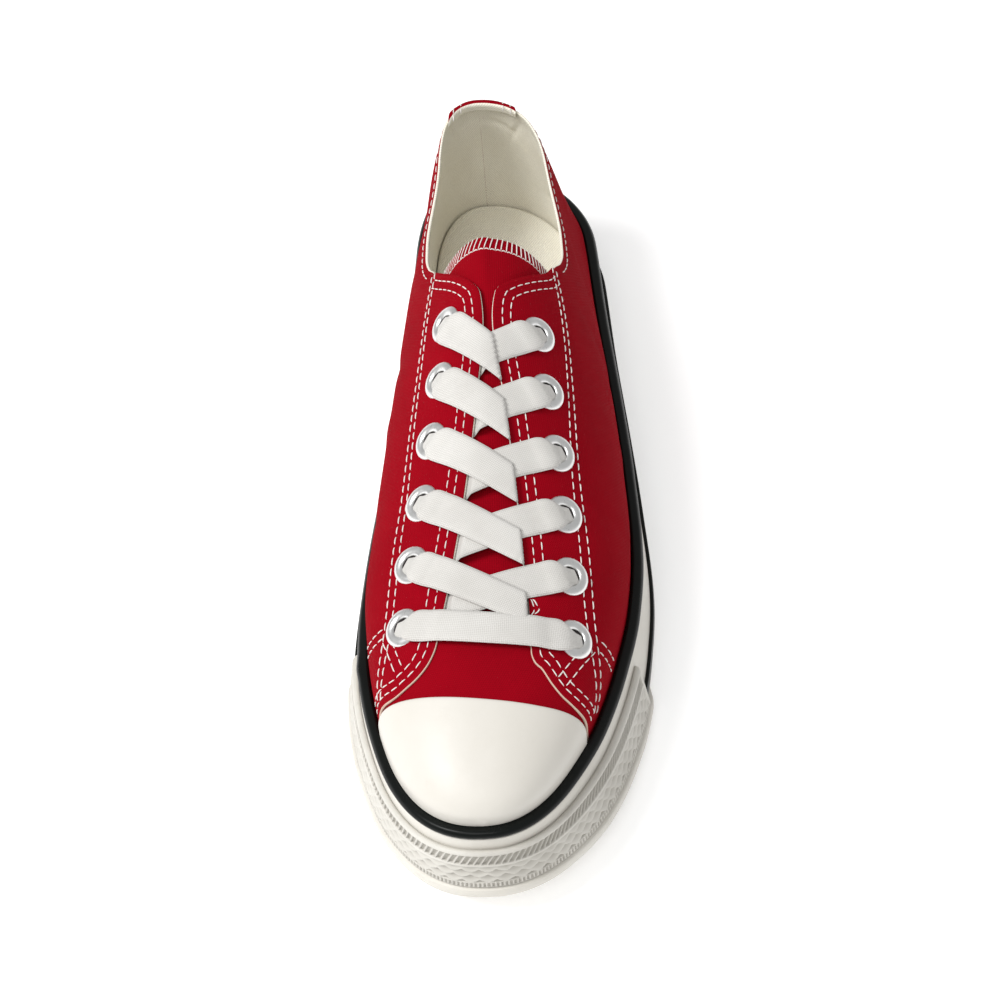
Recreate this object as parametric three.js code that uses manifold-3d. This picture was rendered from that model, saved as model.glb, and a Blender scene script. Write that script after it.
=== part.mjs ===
// A low canvas lace-up sneaker for the left foot, in millimetres.
// The toe points along -Y, the outer (lateral) side of the foot is +X, and +Z is up.
// Every form is worked out from one last: a table of sections along the foot, grown
// outwards by the thickness of each layer that lies on it.
import * as THREE from "three";
import { mergeVertices } from "three/addons/utils/BufferGeometryUtils.js";
import Module from "manifold-3d";

const wasm = await Module();
wasm.setup();

// The last
const LAST_LENGTH = 250;
const HALF_WIDTH = 39.5; // what the half widths in the table are shares of
const INSTEP_HEIGHT = 96; // what the crest heights in the table are shares of
const SHOULDER = 30; // height where the upright side of the last starts to turn in
const HEEL_ROUND = 0.12 * LAST_LENGTH; // length of the rounded heel, in plan
const TOE_ROUND = 0.368 * LAST_LENGTH; // length of the rounded toe, in plan
const HEEL_POWER = 2.2;
const TOE_POWER = 2.26;
const CREST_ROUND = 0.75; // the toe box falls over this share of the rounded toe
const TOE_SPRING = 9; // lift of the toe's tip off the floor
const SPRING_FROM = 0.62; // share of the length where that lift starts
const HEEL_LEAN = 8; // how far the back of the collar leans over the foot
const LEAN_LENGTH = 0.3 * LAST_LENGTH; // the lean dies out this far along the foot
const LEAN_FROM = 24; // height where the back of the heel is furthest out
const COLLAR_HEIGHT = 69; // collar's top edge at the heel, above the floor

// The layers
const CLEAR = 0.3; // gap between two neighbours
const WALL = 1.7; // canvas with its lining
const FACING_STEP = 0.7; // the quarters stand this much proud of the vamp
const CAP_WALL = 1.2; // rubber of the toe cap
const CAP_REAR = 0.8892 * LAST_LENGTH; // rear edge of the toe cap, along the foot
const CAP_BOW = 9.5; // that edge is bowed back by this much at the sides
const CAP_MIDDLE = -0.06; // where across the foot the bow is furthest forward, in half widths
const STRIP_WALL = 0.9;
const STRIP_WIDTH = 21;
const STRIP_TURN = 2.5; // how far the heel strip turns down inside the collar
const TONGUE_WALL = 2.2;
const TONGUE_GAP = 0.9;
const OUTSOLE = 4;
const OUTSOLE_LIP = 0.6; // the outsole stands this far outside what it carries
const FILLER_TOP = 13.5; // top of the outsole's raised middle
const INSOLE = 5;
const INSOLE_BEVEL = 1;
const SOLE_BEVEL = 0.8;
const ARCH_LIFT = 1.2; // the outsole's underside is raised this much under the arch
const ARCH_FROM = 0.24; // share of the length where the arch starts
const ARCH_TO = 0.52;
const FOXING = 2.9; // thickness of the side wall's rubber
const FOXING_HEIGHT = 30; // top edge of the side wall at the heel
const BEAD = 3; // height of the dark bead along the top of the side wall
const BEAD_PROUD = 0.6;
const BUMPER = 1.6; // thickness of the strip round the toe
const PLAIN_BAND = 4; // side wall left plain between the bead and that strip
const RIB_PITCH = 6;
const RIB_DEPTH = 0.4;
const LOW_STRIPE = 2.4; // height of the dark line near the floor
const LOW_STRIPE_WALL = 0.7;
const LOW_STRIPE_FROM = 5.2;
const TREAD_DEPTH = 1.4;
const TREAD_GROOVE = 2.4;
const TREAD_PITCH = 11;
const TREAD_FROM = 18; // the first groove, and the last ends as far from the toe
const TREAD_BORDER = 4; // the grooves end this far inside the last

// The lacing
const EYELET_PAIRS = 6;
const EYELET_FROM = 0.4348 * LAST_LENGTH; // first inner eyelet, along the foot
const EYELET_PITCH = 0.0712 * LAST_LENGTH;
const EYELET_STAGGER = 0.0208 * LAST_LENGTH; // the outer row sits this much nearer the toe
const EYELET_RADIUS = 5.65;
const EYELET_BORE = 2.75;
const EYELET_BARREL = 0.45; // thickness of the barrel
const EYELET_FLANGE = 0.75; // height of the dished flange
const EYELET_BEVEL = 0.5; // the flange's outside leans in by this much
const LACE_WIDTH = 9;
const LACE_THICK = 1.2;
const THROAT_FROM = 0.33 * LAST_LENGTH; // the collar runs into the slit between the quarters here
const THROAT_END = 0.804 * LAST_LENGTH; // and that slit ends here

// How finely the forms are cut
const STATIONS = 31;
const LEG_STEPS = 2;
const ARCH_STEPS = 8;
const ROUND_STEPS = 8;

// How far the cutting forms run past what they cut
const PAST = 4;
const FAR = 1.2 * LAST_LENGTH;

const clamp = (x, low, high) => Math.min(Math.max(x, low), high);
const mix = (a, b, t) => a + (b - a) * t;

// A smooth curve through the points that never overshoots them.
function curveThrough(xs, ys) {
  const last = xs.length - 1;
  const run = xs.slice(1).map((x, i) => x - xs[i]);
  const pitch = run.map((h, i) => (ys[i + 1] - ys[i]) / h);
  const slope = xs.map((_, i) => {
    if (i === 0) return pitch[0];
    if (i === last) return pitch[last - 1];
    if (pitch[i - 1] * pitch[i] <= 0) return 0;
    const before = 2 * run[i] + run[i - 1];
    const after = run[i] + 2 * run[i - 1];
    return (before + after) / (before / pitch[i - 1] + after / pitch[i]);
  });
  return (value) => {
    const x = clamp(value, xs[0], xs[last]);
    let i = 0;
    while (i < last - 1 && x > xs[i + 1]) i += 1;
    const t = (x - xs[i]) / run[i];
    const r = 1 - t;
    return (
      ys[i] * (1 + 2 * t) * r * r +
      slope[i] * run[i] * t * r * r +
      ys[i + 1] * t * t * (3 - 2 * t) -
      slope[i + 1] * run[i] * t * t * r
    );
  };
}

// Rows of numbers under named columns, as one smooth curve for each column but the first.
function table(columns, rows) {
  const at = rows.map((row) => row[0]);
  const curves = columns.slice(1).map((name, i) => [name, curveThrough(at, rows.map((row) => row[i + 1]))]);
  return Object.fromEntries(curves);
}

// Sections of the last, a row for each share of its length. inner and outer are the half
// widths on the two sides of the foot, top is the crest, full is how square the section is
// (2 is an ellipse), ridge is where the crest lies across the foot (a share of the half
// width), and swellIn and swellOut are how far the sides bulge above the side wall.
const SECTIONS = table(
  ["at", "inner", "outer", "top", "full", "ridge", "swellIn", "swellOut"],
  [
    [0.0, 0.42, 0.62, 0.945, 2.0, -0.06, 0.04, -0.08],
    [0.12, 0.475, 0.7, 0.917, 1.5, -0.015, 0.05, -0.11],
    [0.25, 0.555, 0.755, 0.898, 1.53, -0.005, 0.15, -0.02],
    [0.38, 0.645, 0.83, 0.88, 1.64, 0.0, 0.13, 0.01],
    [0.5, 0.74, 0.9, 0.814, 1.73, -0.01, 0.085, 0.0],
    [0.62, 0.828, 0.94, 0.714, 1.8, -0.025, 0.05, 0.0],
    [0.7, 0.858, 0.925, 0.637, 2.0, -0.047, 0.04, 0.0],
    [0.78, 0.871, 0.88, 0.573, 2.1, -0.068, 0.0, 0.0],
    [0.86, 0.871, 0.826, 0.529, 2.2, -0.078, 0.0, 0.0],
    [0.93, 0.867, 0.79, 0.49, 2.2, -0.108, 0.0, 0.0],
    [1.0, 0.876, 0.78, 0.46, 2.2, -0.133, 0.0, 0.0],
  ],
);

// The side wall: its top edge as a share of FOXING_HEIGHT, and how far its foot flares
// out on the two sides, as shares of its thickness.
const SIDE_WALL = table(
  ["at", "top", "flareIn", "flareOut"],
  [
    [0.0, 1.0, 0.83, 0.83],
    [0.2, 0.93, 0.9, 0.7],
    [0.45, 0.88, 0.97, 0.62],
    [0.6, 0.87, 1.1, 0.83],
    [0.7, 0.87, 0.97, 1.0],
    [0.8, 0.87, 0.97, 1.5],
    [0.9, 0.88, 0.8, 1.55],
    [0.96, 0.89, 0.55, 1.0],
    [1.0, 0.9, 0.48, 0.48],
  ],
);

// The collar's edge seen from the side, as shares of the last's length and of the
// collar's height at the heel.
const COLLAR = table(
  ["at", "height"],
  [
    [-0.12, 1.0],
    [0.035, 1.0],
    [0.11, 0.91],
    [0.2, 0.874],
    [0.27, 0.9],
    [0.305, 0.95],
    [0.33, 1.02],
  ],
);

// The two edges of the throat in plan, as shares of the half width.
const THROAT = table(
  ["at", "inner", "outer"],
  [
    [0.329, -0.395, 0.485],
    [0.35, -0.325, 0.44],
    [0.378, -0.205, 0.3],
    [0.4, -0.11, 0.16],
    [0.415, -0.062, 0.08],
    [0.45, -0.045, 0.055],
    [0.552, -0.11, 0.124],
    [0.665, -0.223, 0.19],
    [0.753, -0.332, 0.223],
    [0.835, -0.425, 0.238],
  ],
);

// The tongue lies under the facings and comes out above them.
const TONGUE = table(
  ["at", "inner", "outer"],
  [
    [0.326, -0.34, 0.43],
    [0.332, -0.38, 0.465],
    [0.348, -0.42, 0.5],
    [0.37, -0.45, 0.53],
    [0.5, -0.5, 0.57],
    [0.7, -0.5, 0.48],
    [0.84, -0.42, 0.32],
  ],
);

// The front edge of the quarters in plan, from the throat out to the side wall.
const QUARTER_FRONT = {
  inner: [
    [-0.425, 0.829],
    [-0.53, 0.848],
    [-0.64, 0.859],
    [-0.83, 0.864],
    [-1.6, 0.86],
  ],
  outer: [
    [0.238, 0.841],
    [0.34, 0.86],
    [0.44, 0.868],
    [0.66, 0.867],
    [1.6, 0.86],
  ],
};

// Height of the layers of the toe strip's outside, as shares of its height, and how deep
// each lies under its face, in rib depths.
const BUMPER_FACE = [
  { up: 0.0, sunk: 0, ribbed: 0 },
  { up: 0.5, sunk: 0.5, ribbed: 0 },
  { up: 0.54, sunk: 0, ribbed: 0 },
  { up: 0.6, sunk: 1, ribbed: 1 },
  { up: 0.86, sunk: 1, ribbed: 1 },
  { up: 0.9, sunk: 0, ribbed: 0 },
  { up: 1.0, sunk: 0, ribbed: 0 },
];
const BUMPER_END = { inner: 0.72, outer: 0.752 }; // where the toe strip ends on each side
const BUMPER_FADE = 0.025; // the outsole widens under it over this share of the length

// Where each eyelet sits across the foot, as shares of the half width, from the top pair down.
const EYELET_ROWS = {
  inner: [-0.31, -0.36, -0.43, -0.505, -0.585, -0.65],
  outer: [0.365, 0.41, 0.465, 0.495, 0.515, 0.53],
};

// A quarter of a rounded end: 0 at its tip, 1 where it runs into the side.
function dome(t, power) {
  return (1 - (1 - clamp(t, 0, 1)) ** power) ** (1 / power);
}

function shareOf(s, grow) {
  return clamp((s + grow) / (LAST_LENGTH + 2 * grow), 0, 1);
}

function ridgeX(s, grow) {
  return SECTIONS.ridge(shareOf(s, grow)) * HALF_WIDTH;
}

// The side of the last in plan, a distance s from its heel, grown outwards by grow.
function wallX(s, grow, side) {
  const at = shareOf(s, grow);
  const half = (side > 0 ? SECTIONS.outer(at) : SECTIONS.inner(at)) * HALF_WIDTH + grow;
  const heel = dome((s + grow) / (HEEL_ROUND + grow), HEEL_POWER);
  const toe = dome((LAST_LENGTH + grow - s) / (TOE_ROUND + grow), TOE_POWER);
  return ridgeX(s, grow) + side * half * heel * toe;
}

function crestZ(s, grow) {
  const fall = dome((LAST_LENGTH + grow - s) / (TOE_ROUND * CREST_ROUND + grow), TOE_POWER);
  const top = SECTIONS.top(shareOf(s, grow)) * INSTEP_HEIGHT + grow;
  return SHOULDER + (top - SHOULDER) * fall;
}

function toeRise(s) {
  const t = clamp((s / LAST_LENGTH - SPRING_FROM) / (1 - SPRING_FROM), 0, 1.2);
  return TOE_SPRING * t * t;
}

function heelLean(s, z) {
  const t = (z - LEAN_FROM) / (COLLAR_HEIGHT - LEAN_FROM);
  return HEEL_LEAN * t * Math.abs(t) * clamp(1 - s / LEAN_LENGTH, 0, 1) ** 2;
}

// A point of the straight last, bent back at the heel and up at the toe.
function place(x, s, z) {
  const along = s + heelLean(s, z);
  return [x, -along, z + toeRise(along)];
}

function stationS(u, grow) {
  return -grow + (LAST_LENGTH + 2 * grow) * u;
}

const foxingTop = (s) => SIDE_WALL.top(s / LAST_LENGTH) * FOXING_HEIGHT;

// The last's section above its shoulder, at an angle of 0 at the shoulder and 90 degrees
// on the crest.
function archPoint(s, grow, side, angle) {
  const at = shareOf(s, grow);
  const power = 2 / SECTIONS.full(at);
  const swell = side > 0 ? SECTIONS.swellOut(at) : SECTIONS.swellIn(at);
  const up = Math.sin(angle) ** power;
  const out = Math.max(Math.cos(angle), 0) ** power * (1 + swell * 6.75 * up * (1 - up) ** 2);
  const ridge = ridgeX(s, grow);
  return [ridge + (wallX(s, grow, side) - ridge) * out, SHOULDER + (crestZ(s, grow) - SHOULDER) * up];
}

// The grown last's height over a point of the plan, and its outward direction there.
function topZ(x, s, grow) {
  const side = x > ridgeX(s, grow) ? 1 : -1;
  let low = 0.02;
  let high = Math.PI / 2;
  for (let i = 0; i < 40; i += 1) {
    const middle = (low + high) / 2;
    if (side * (archPoint(s, grow, side, middle)[0] - x) > 0) low = middle;
    else high = middle;
  }
  return archPoint(s, grow, side, high)[1] + toeRise(s);
}

function topPoint(x, s, grow) {
  return new THREE.Vector3(x, -s, topZ(x, s, grow));
}

function topNormal(x, s) {
  const step = 1.5;
  const across = topPoint(x + step, s, WALL).sub(topPoint(x - step, s, WALL));
  const along = topPoint(x, s - step, WALL).sub(topPoint(x, s + step, WALL));
  return across.cross(along).normalize();
}

// One closed solid from points and triangles, with shared points merged and faces out.
function solid(points, triangles) {
  const geometry = new THREE.BufferGeometry();
  geometry.setAttribute("position", new THREE.Float32BufferAttribute(points.flat(), 3));
  geometry.setIndex(triangles.flat());
  const merged = mergeVertices(geometry, 1e-4);
  const index = merged.index.array;
  const kept = [];
  for (let i = 0; i < index.length; i += 3) {
    const [a, b, c] = [index[i], index[i + 1], index[i + 2]];
    if (a !== b && b !== c && c !== a) kept.push(a, b, c);
  }
  const vertProperties = new Float32Array(merged.attributes.position.array);
  const build = (list) =>
    new wasm.Manifold(new wasm.Mesh({ numProp: 3, vertProperties, triVerts: new Uint32Array(list) }));
  const made = build(kept);
  if (made.volume() > 0) return made;
  const turned = [];
  for (let i = 0; i < kept.length; i += 3) turned.push(kept[i], kept[i + 2], kept[i + 1]);
  return build(turned);
}

// Joins rings of equally many points. The ends are closed, or the last ring meets the first.
function loft(rings, wrap = false) {
  const size = rings[0].length;
  const points = rings.flat();
  const triangles = [];
  const spans = wrap ? rings.length : rings.length - 1;
  for (let i = 0; i < spans; i += 1) {
    const here = i * size;
    const next = ((i + 1) % rings.length) * size;
    for (let j = 0; j < size; j += 1) {
      const k = (j + 1) % size;
      triangles.push([here + j, here + k, next + k], [here + j, next + k, next + j]);
    }
  }
  if (!wrap) {
    for (let j = 1; j < size - 1; j += 1) {
      const end = (rings.length - 1) * size;
      triangles.push([0, j + 1, j], [end, end + j, end + j + 1]);
    }
  }
  return solid(points, triangles);
}

// A prism over an outline of [a, b] pairs, from low to high, put in space by put(a, b, h).
function prism(outline, low, high, put) {
  const given = outline.map(([a, b]) => new THREE.Vector2(a, b));
  const flat = THREE.ShapeUtils.isClockWise(given) ? given.reverse() : given;
  const count = flat.length;
  const points = [low, high].flatMap((h) => flat.map(({ x, y }) => put(x, y, h)));
  const triangles = [];
  for (const face of THREE.ShapeUtils.triangulateShape(flat, [])) {
    const clockwise = THREE.ShapeUtils.isClockWise(face.map((i) => flat[i]));
    const [a, b, c] = clockwise ? [...face].reverse() : face;
    triangles.push([a, c, b], [a + count, b + count, c + count]);
  }
  for (let i = 0; i < count; i += 1) {
    const j = (i + 1) % count;
    triangles.push([i, j, j + count], [i, j + count, i + count]);
  }
  return solid(points, triangles);
}

const planPrism = (outline, low, high) => prism(outline, low, high, (x, s, z) => [x, -s, z]);
const sidePrism = (outline, reach) => prism(outline, -reach, reach, (s, z, x) => [x, -s, z]);
const inPlan = (rows) => rows.map(([x, at]) => [x * HALF_WIDTH, at * LAST_LENGTH]);

const SHARES = Array.from({ length: STATIONS + 1 }, (_, i) => {
  const t = i / STATIONS;
  return mix(0.5 - 0.5 * Math.cos(Math.PI * t), t, 0.12);
});

// The whole last, grown by grow, from a flat bottom up to its crest.
function lastForm(grow, bottom) {
  const sideRow = (u, side) => {
    const s = stationS(u, grow);
    const row = [];
    for (let i = 0; i < LEG_STEPS; i += 1) {
      row.push(place(wallX(s, grow, side), s, mix(bottom, SHOULDER, i / LEG_STEPS)));
    }
    for (let i = 0; i <= ARCH_STEPS; i += 1) {
      const [x, z] = archPoint(s, grow, side, ((i / ARCH_STEPS) * Math.PI) / 2);
      row.push(place(x, s, z));
    }
    return row;
  };
  return loft(SHARES.map((u) => [...sideRow(u, 1), ...sideRow(u, -1).reverse()]));
}

// A point of the sole: u along its length, a distance grow outside the last.
function solePoint(u, side, grow, z) {
  const s = stationS(u, grow);
  const height = typeof z === "function" ? z(s) : z;
  return place(wallX(s, grow, side), s, height);
}

// A solid right across the foot. Its profile runs up one side, as [grow, z] pairs.
function acrossForm(profile) {
  return loft(
    SHARES.map((u) => {
      const side = (hand) => profile(u, hand).map(([grow, z]) => solePoint(u, hand, grow, z));
      return [...side(1), ...side(-1).reverse()];
    }),
  );
}

// A strip round the foot. Its profile is a closed loop of [grow, z] pairs, and its stops
// are {u, side} in order round the shoe.
function roundForm(stops, profile, wrap) {
  return loft(
    stops.map(({ u, side }, i) => profile(u, side, i).map(([grow, z]) => solePoint(u, side, grow, z))),
    wrap,
  );
}

const allRound = [
  ...SHARES.map((u) => ({ u, side: 1 })),
  ...SHARES.slice(1, -1)
    .reverse()
    .map((u) => ({ u, side: -1 })),
];

// Stops a given distance apart along the outline at grow, from one share on the outer side
// to another on the inner side, by way of the toe.
function evenStops(grow, outerAt, innerAt, pitch) {
  const fine = 400;
  const span = (from, side) =>
    Array.from({ length: fine + 1 }, (_, i) => {
      const t = i / fine;
      return { u: mix(from, 1, 1 - (1 - t) ** 2), side };
    });
  const path = [...span(outerAt, 1), ...span(innerAt, -1).reverse().slice(1)];
  const where = path.map(({ u, side }) => solePoint(u, side, grow, 0));
  const travelled = [0];
  for (let i = 1; i < path.length; i += 1) {
    travelled.push(travelled[i - 1] + Math.hypot(where[i][0] - where[i - 1][0], where[i][1] - where[i - 1][1]));
  }
  const total = travelled[path.length - 1];
  const steps = 2 * Math.round(total / pitch / 2);
  const stops = [];
  let i = 0;
  for (let k = 0; k <= steps; k += 1) {
    while (i < path.length - 1 && travelled[i] < (total * k) / steps - 1e-9) i += 1;
    stops.push(path[i]);
  }
  return stops;
}

// Distances outside the last of the layers round it
const FOXING_IN = WALL + CLEAR;
const FOXING_OUT = FOXING_IN + FOXING;
const FOXING_FROM = OUTSOLE + CLEAR;

function flareOf(u, side) {
  return (side > 0 ? SIDE_WALL.flareOut(u) : SIDE_WALL.flareIn(u)) * FOXING;
}

const wallTop = (s) => foxingTop(s) - BEAD - CLEAR;
const bumperTop = (s) => wallTop(s) - PLAIN_BAND;

// How far the side wall's face is outside the last at a height: a straight flare.
function faceGrow(u, side, z) {
  const top = wallTop(u * LAST_LENGTH);
  return FOXING_OUT + flareOf(u, side) * clamp((top - z) / (top - FOXING_FROM), 0, 1);
}

function underBumper(u, side) {
  const end = side > 0 ? BUMPER_END.outer : BUMPER_END.inner;
  const t = clamp((u - end) / BUMPER_FADE + 1, 0, 1);
  return t * t * (3 - 2 * t);
}

function archLift(s) {
  const t = clamp((s / LAST_LENGTH - ARCH_FROM) / (ARCH_TO - ARCH_FROM), 0, 1);
  return ARCH_LIFT * Math.sin(Math.PI * t) ** 2;
}

function makeOutsole() {
  const edge = (u, side) =>
    FOXING_OUT + flareOf(u, side) + OUTSOLE_LIP + underBumper(u, side) * (BUMPER + CLEAR);
  const body = acrossForm((u, side) => [
    [edge(u, side) - SOLE_BEVEL, archLift],
    [edge(u, side), (s) => archLift(s) + SOLE_BEVEL],
    [edge(u, side), OUTSOLE],
    [-CLEAR, OUTSOLE],
    [-CLEAR, FILLER_TOP],
  ]);
  const grooves = [];
  for (let s = TREAD_FROM; s < LAST_LENGTH - TREAD_FROM; s += TREAD_PITCH) {
    const underArch = s > ARCH_FROM * LAST_LENGTH && s < ARCH_TO * LAST_LENGTH;
    if (!underArch) grooves.push(s);
  }
  return grooves.reduce((sole, s) => {
    const inner = wallX(s, -TREAD_BORDER, -1);
    const outer = wallX(s, -TREAD_BORDER, 1);
    const top = toeRise(s) + TREAD_DEPTH;
    const half = TREAD_GROOVE / 2;
    const outline = [[inner, s - half], [outer, s - half], [outer, s + half], [inner, s + half]];
    const slot = planPrism(outline, -PAST, top);
    return sole.subtract(slot);
  }, body);
}

const makeInsole = () =>
  acrossForm(() => [
    [-CLEAR, FILLER_TOP + CLEAR],
    [-CLEAR, FILLER_TOP + CLEAR + INSOLE - INSOLE_BEVEL],
    [-CLEAR - INSOLE_BEVEL, FILLER_TOP + CLEAR + INSOLE],
  ]);

const makeFoxing = () =>
  roundForm(
    allRound,
    (u, side) => [
      [FOXING_IN, FOXING_FROM],
      [faceGrow(u, side, FOXING_FROM), FOXING_FROM],
      [FOXING_OUT, wallTop],
      [FOXING_IN, wallTop],
    ],
    true,
  );

const makeTopStripe = () =>
  roundForm(
    allRound,
    () => [
      [FOXING_IN, (s) => foxingTop(s) - BEAD],
      [FOXING_OUT + 0.1, (s) => foxingTop(s) - BEAD],
      [FOXING_OUT + BEAD_PROUD, (s) => foxingTop(s) - BEAD * 0.55],
      [FOXING_OUT - BEAD_PROUD, (s) => foxingTop(s) - BEAD * 0.08],
      [FOXING_IN, foxingTop],
    ],
    true,
  );

function makeToeBumper() {
  const gap = CLEAR * 1.5; // it follows the side wall's flat facets more finely than they lie
  const stops = evenStops(FOXING_OUT + BUMPER, BUMPER_END.outer, BUMPER_END.inner, RIB_PITCH / 2);
  const profile = (u, side, i) => {
    const top = bumperTop(u * LAST_LENGTH);
    const rib = i % 2 ? -0.5 : 0.5;
    const face = BUMPER_FACE.map(({ up, sunk, ribbed }) => {
      const z = mix(FOXING_FROM, top, up);
      return [faceGrow(u, side, z) + gap + BUMPER - RIB_DEPTH * (sunk + rib * ribbed), z];
    });
    return [[faceGrow(u, side, FOXING_FROM) + gap, FOXING_FROM], ...face, [faceGrow(u, side, top) + gap, top]];
  };
  return roundForm(stops, profile, false);
}

function makeLowStripe() {
  const gap = 0.004;
  const behind = (end, side) => [
    { u: end - gap, side },
    ...SHARES.filter((u) => u < end - 2 * gap).reverse().map((u) => ({ u, side })),
  ];
  const stops = [...behind(BUMPER_END.outer, 1), ...behind(BUMPER_END.inner, -1).reverse().slice(1)];
  const top = LOW_STRIPE_FROM + LOW_STRIPE;
  return roundForm(
    stops,
    (u, side) => [
      [faceGrow(u, side, LOW_STRIPE_FROM) + CLEAR, LOW_STRIPE_FROM],
      [faceGrow(u, side, LOW_STRIPE_FROM) + CLEAR + LOW_STRIPE_WALL, LOW_STRIPE_FROM],
      [faceGrow(u, side, top) + CLEAR + LOW_STRIPE_WALL, top],
      [faceGrow(u, side, top) + CLEAR, top],
    ],
    false,
  );
}

// Everything over the collar's edge, seen from the side, lifted by lift.
function overCollar(lift) {
  const steps = 20;
  const edge = Array.from({ length: steps + 1 }, (_, i) => {
    const at = mix(-0.12, THROAT_FROM / LAST_LENGTH, i / steps);
    return [at * LAST_LENGTH, COLLAR.height(at) * COLLAR_HEIGHT + lift];
  });
  const front = edge[steps][0];
  return sidePrism([...edge, [front, FAR], [edge[0][0], FAR]], HALF_WIDTH * 2);
}

// The slit between the two facings.
function throatSlit() {
  const steps = 22;
  const from = (THROAT_FROM - CLEAR) / LAST_LENGTH;
  const to = THROAT_END / LAST_LENGTH;
  const shares = Array.from({ length: steps + 1 }, (_, i) => mix(from, to, (i / steps) ** 1.4));
  const edge = (side) => shares.map((at) => [THROAT[side](at), at]);
  return planPrism(inPlan([...edge("inner"), ...edge("outer").reverse()]), SHOULDER + PAST, FAR);
}

// What lies in front of the quarters, over the side wall, where only the vamp is left.
function vampArea() {
  const toThroat = THROAT_END / LAST_LENGTH - 0.004;
  const front = 1.2;
  const outline = [
    [THROAT.inner(toThroat), toThroat],
    ...QUARTER_FRONT.inner,
    [-1.6, front],
    [1.6, front],
    ...[...QUARTER_FRONT.outer].reverse(),
    [THROAT.outer(toThroat), toThroat],
  ];
  return planPrism(inPlan(outline), 0, FAR);
}

// All that is lower than a height over the bent floor.
function below(height) {
  const wide = 5 * PAST;
  return acrossForm(() => [
    [wide, -wide],
    [wide, height],
  ]);
}

const eyeletSpots = [];
for (let pair = 0; pair < EYELET_PAIRS; pair += 1) {
  for (const [name, row, stagger] of [
    ["medial", EYELET_ROWS.inner, 0],
    ["lateral", EYELET_ROWS.outer, EYELET_STAGGER],
  ]) {
    const x = row[pair] * HALF_WIDTH;
    const s = EYELET_FROM + stagger + EYELET_PITCH * pair;
    eyeletSpots.push({ name: `eyelet_${name}_${pair + 1}`, side: name, pair, x, s, out: topNormal(x, s) });
  }
}

// A frame at an eyelet: its hole along Z, its origin on the surface at grow.
function eyeletFrame(spot, lift) {
  const turn = new THREE.Quaternion().setFromUnitVectors(new THREE.Vector3(0, 0, 1), spot.out);
  const origin = topPoint(spot.x, spot.s, WALL).addScaledVector(spot.out, lift);
  return new THREE.Matrix4().compose(origin, turn, new THREE.Vector3(1, 1, 1));
}

function eyeletHole(spot) {
  const radius = EYELET_BORE + EYELET_BARREL + CLEAR;
  const frame = eyeletFrame(spot, 0);
  const ring = Array.from({ length: ROUND_STEPS }, (_, i) => {
    const angle = (2 * Math.PI * i) / ROUND_STEPS;
    return [radius * Math.cos(angle), radius * Math.sin(angle)];
  });
  return prism(ring, -PAST, PAST, (a, b, h) => new THREE.Vector3(a, b, h).applyMatrix4(frame).toArray());
}

function makeUpper() {
  const outside = lastForm(WALL, FOXING_FROM);
  const inside = lastForm(0, FOXING_FROM - PAST);
  const step = lastForm(WALL + PAST, FOXING_FROM)
    .subtract(lastForm(WALL - FACING_STEP, FOXING_FROM - PAST))
    .intersect(vampArea())
    .subtract(below((s) => foxingTop(s) - BEAD / 2));
  const shell = outside.subtract(step).subtract(inside).subtract(overCollar(0)).subtract(throatSlit());
  return eyeletSpots.reduce((upper, spot) => upper.subtract(eyeletHole(spot)), shell);
}

function makeToeCap() {
  const steps = 14;
  const edge = Array.from({ length: steps + 1 }, (_, i) => {
    const x = mix(-1, 1, i / steps);
    return [x * HALF_WIDTH, CAP_REAR - CAP_BOW * Math.abs(x - CAP_MIDDLE) ** 2.6];
  });
  const area = planPrism([...edge, [HALF_WIDTH, FAR], [-HALF_WIDTH, FAR]], 0, FAR);
  const under = WALL - FACING_STEP + CLEAR;
  return lastForm(under + CAP_WALL, FOXING_FROM)
    .subtract(lastForm(under, FOXING_FROM - PAST))
    .intersect(area)
    .subtract(below((s) => foxingTop(s) + CLEAR));
}

// A strip over the back seam that turns over the collar's edge.
function makeHeelStrip() {
  const skin = CLEAR + STRIP_WALL;
  const wrap = lastForm(WALL + skin, FOXING_FROM)
    .subtract(lastForm(-skin, FOXING_FROM - PAST))
    .subtract(overCollar(skin));
  const core = lastForm(WALL + CLEAR, FOXING_FROM)
    .subtract(lastForm(-CLEAR, FOXING_FROM - PAST))
    .subtract(overCollar(CLEAR));
  const middle = ridgeX(0, 0) + 1.2;
  const half = STRIP_WIDTH / 2;
  const behind = -HEEL_ROUND;
  const depth = HEEL_ROUND - PAST;
  const outline = [[middle - half, behind], [middle + half, behind], [middle + half, depth], [middle - half, depth]];
  const area = planPrism(outline, 0, FAR);
  const lining = lastForm(WALL / 2, FOXING_FROM - PAST).subtract(overCollar(-STRIP_TURN));
  return wrap
    .subtract(core)
    .intersect(area)
    .subtract(lining)
    .subtract(below((s) => foxingTop(s) + CLEAR));
}

function makeTongue() {
  const steps = 9;
  const shares = Array.from({ length: steps + 1 }, (_, i) => mix(0.326, 0.84, (i / steps) ** 2));
  const edge = (side) => shares.map((at) => [TONGUE[side](at), at]);
  const area = planPrism(inPlan([...edge("inner"), ...edge("outer").reverse()]), SHOULDER, FAR);
  return lastForm(-TONGUE_GAP, FOXING_FROM)
    .subtract(lastForm(-TONGUE_GAP - TONGUE_WALL, FOXING_FROM - PAST))
    .intersect(area);
}

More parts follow.
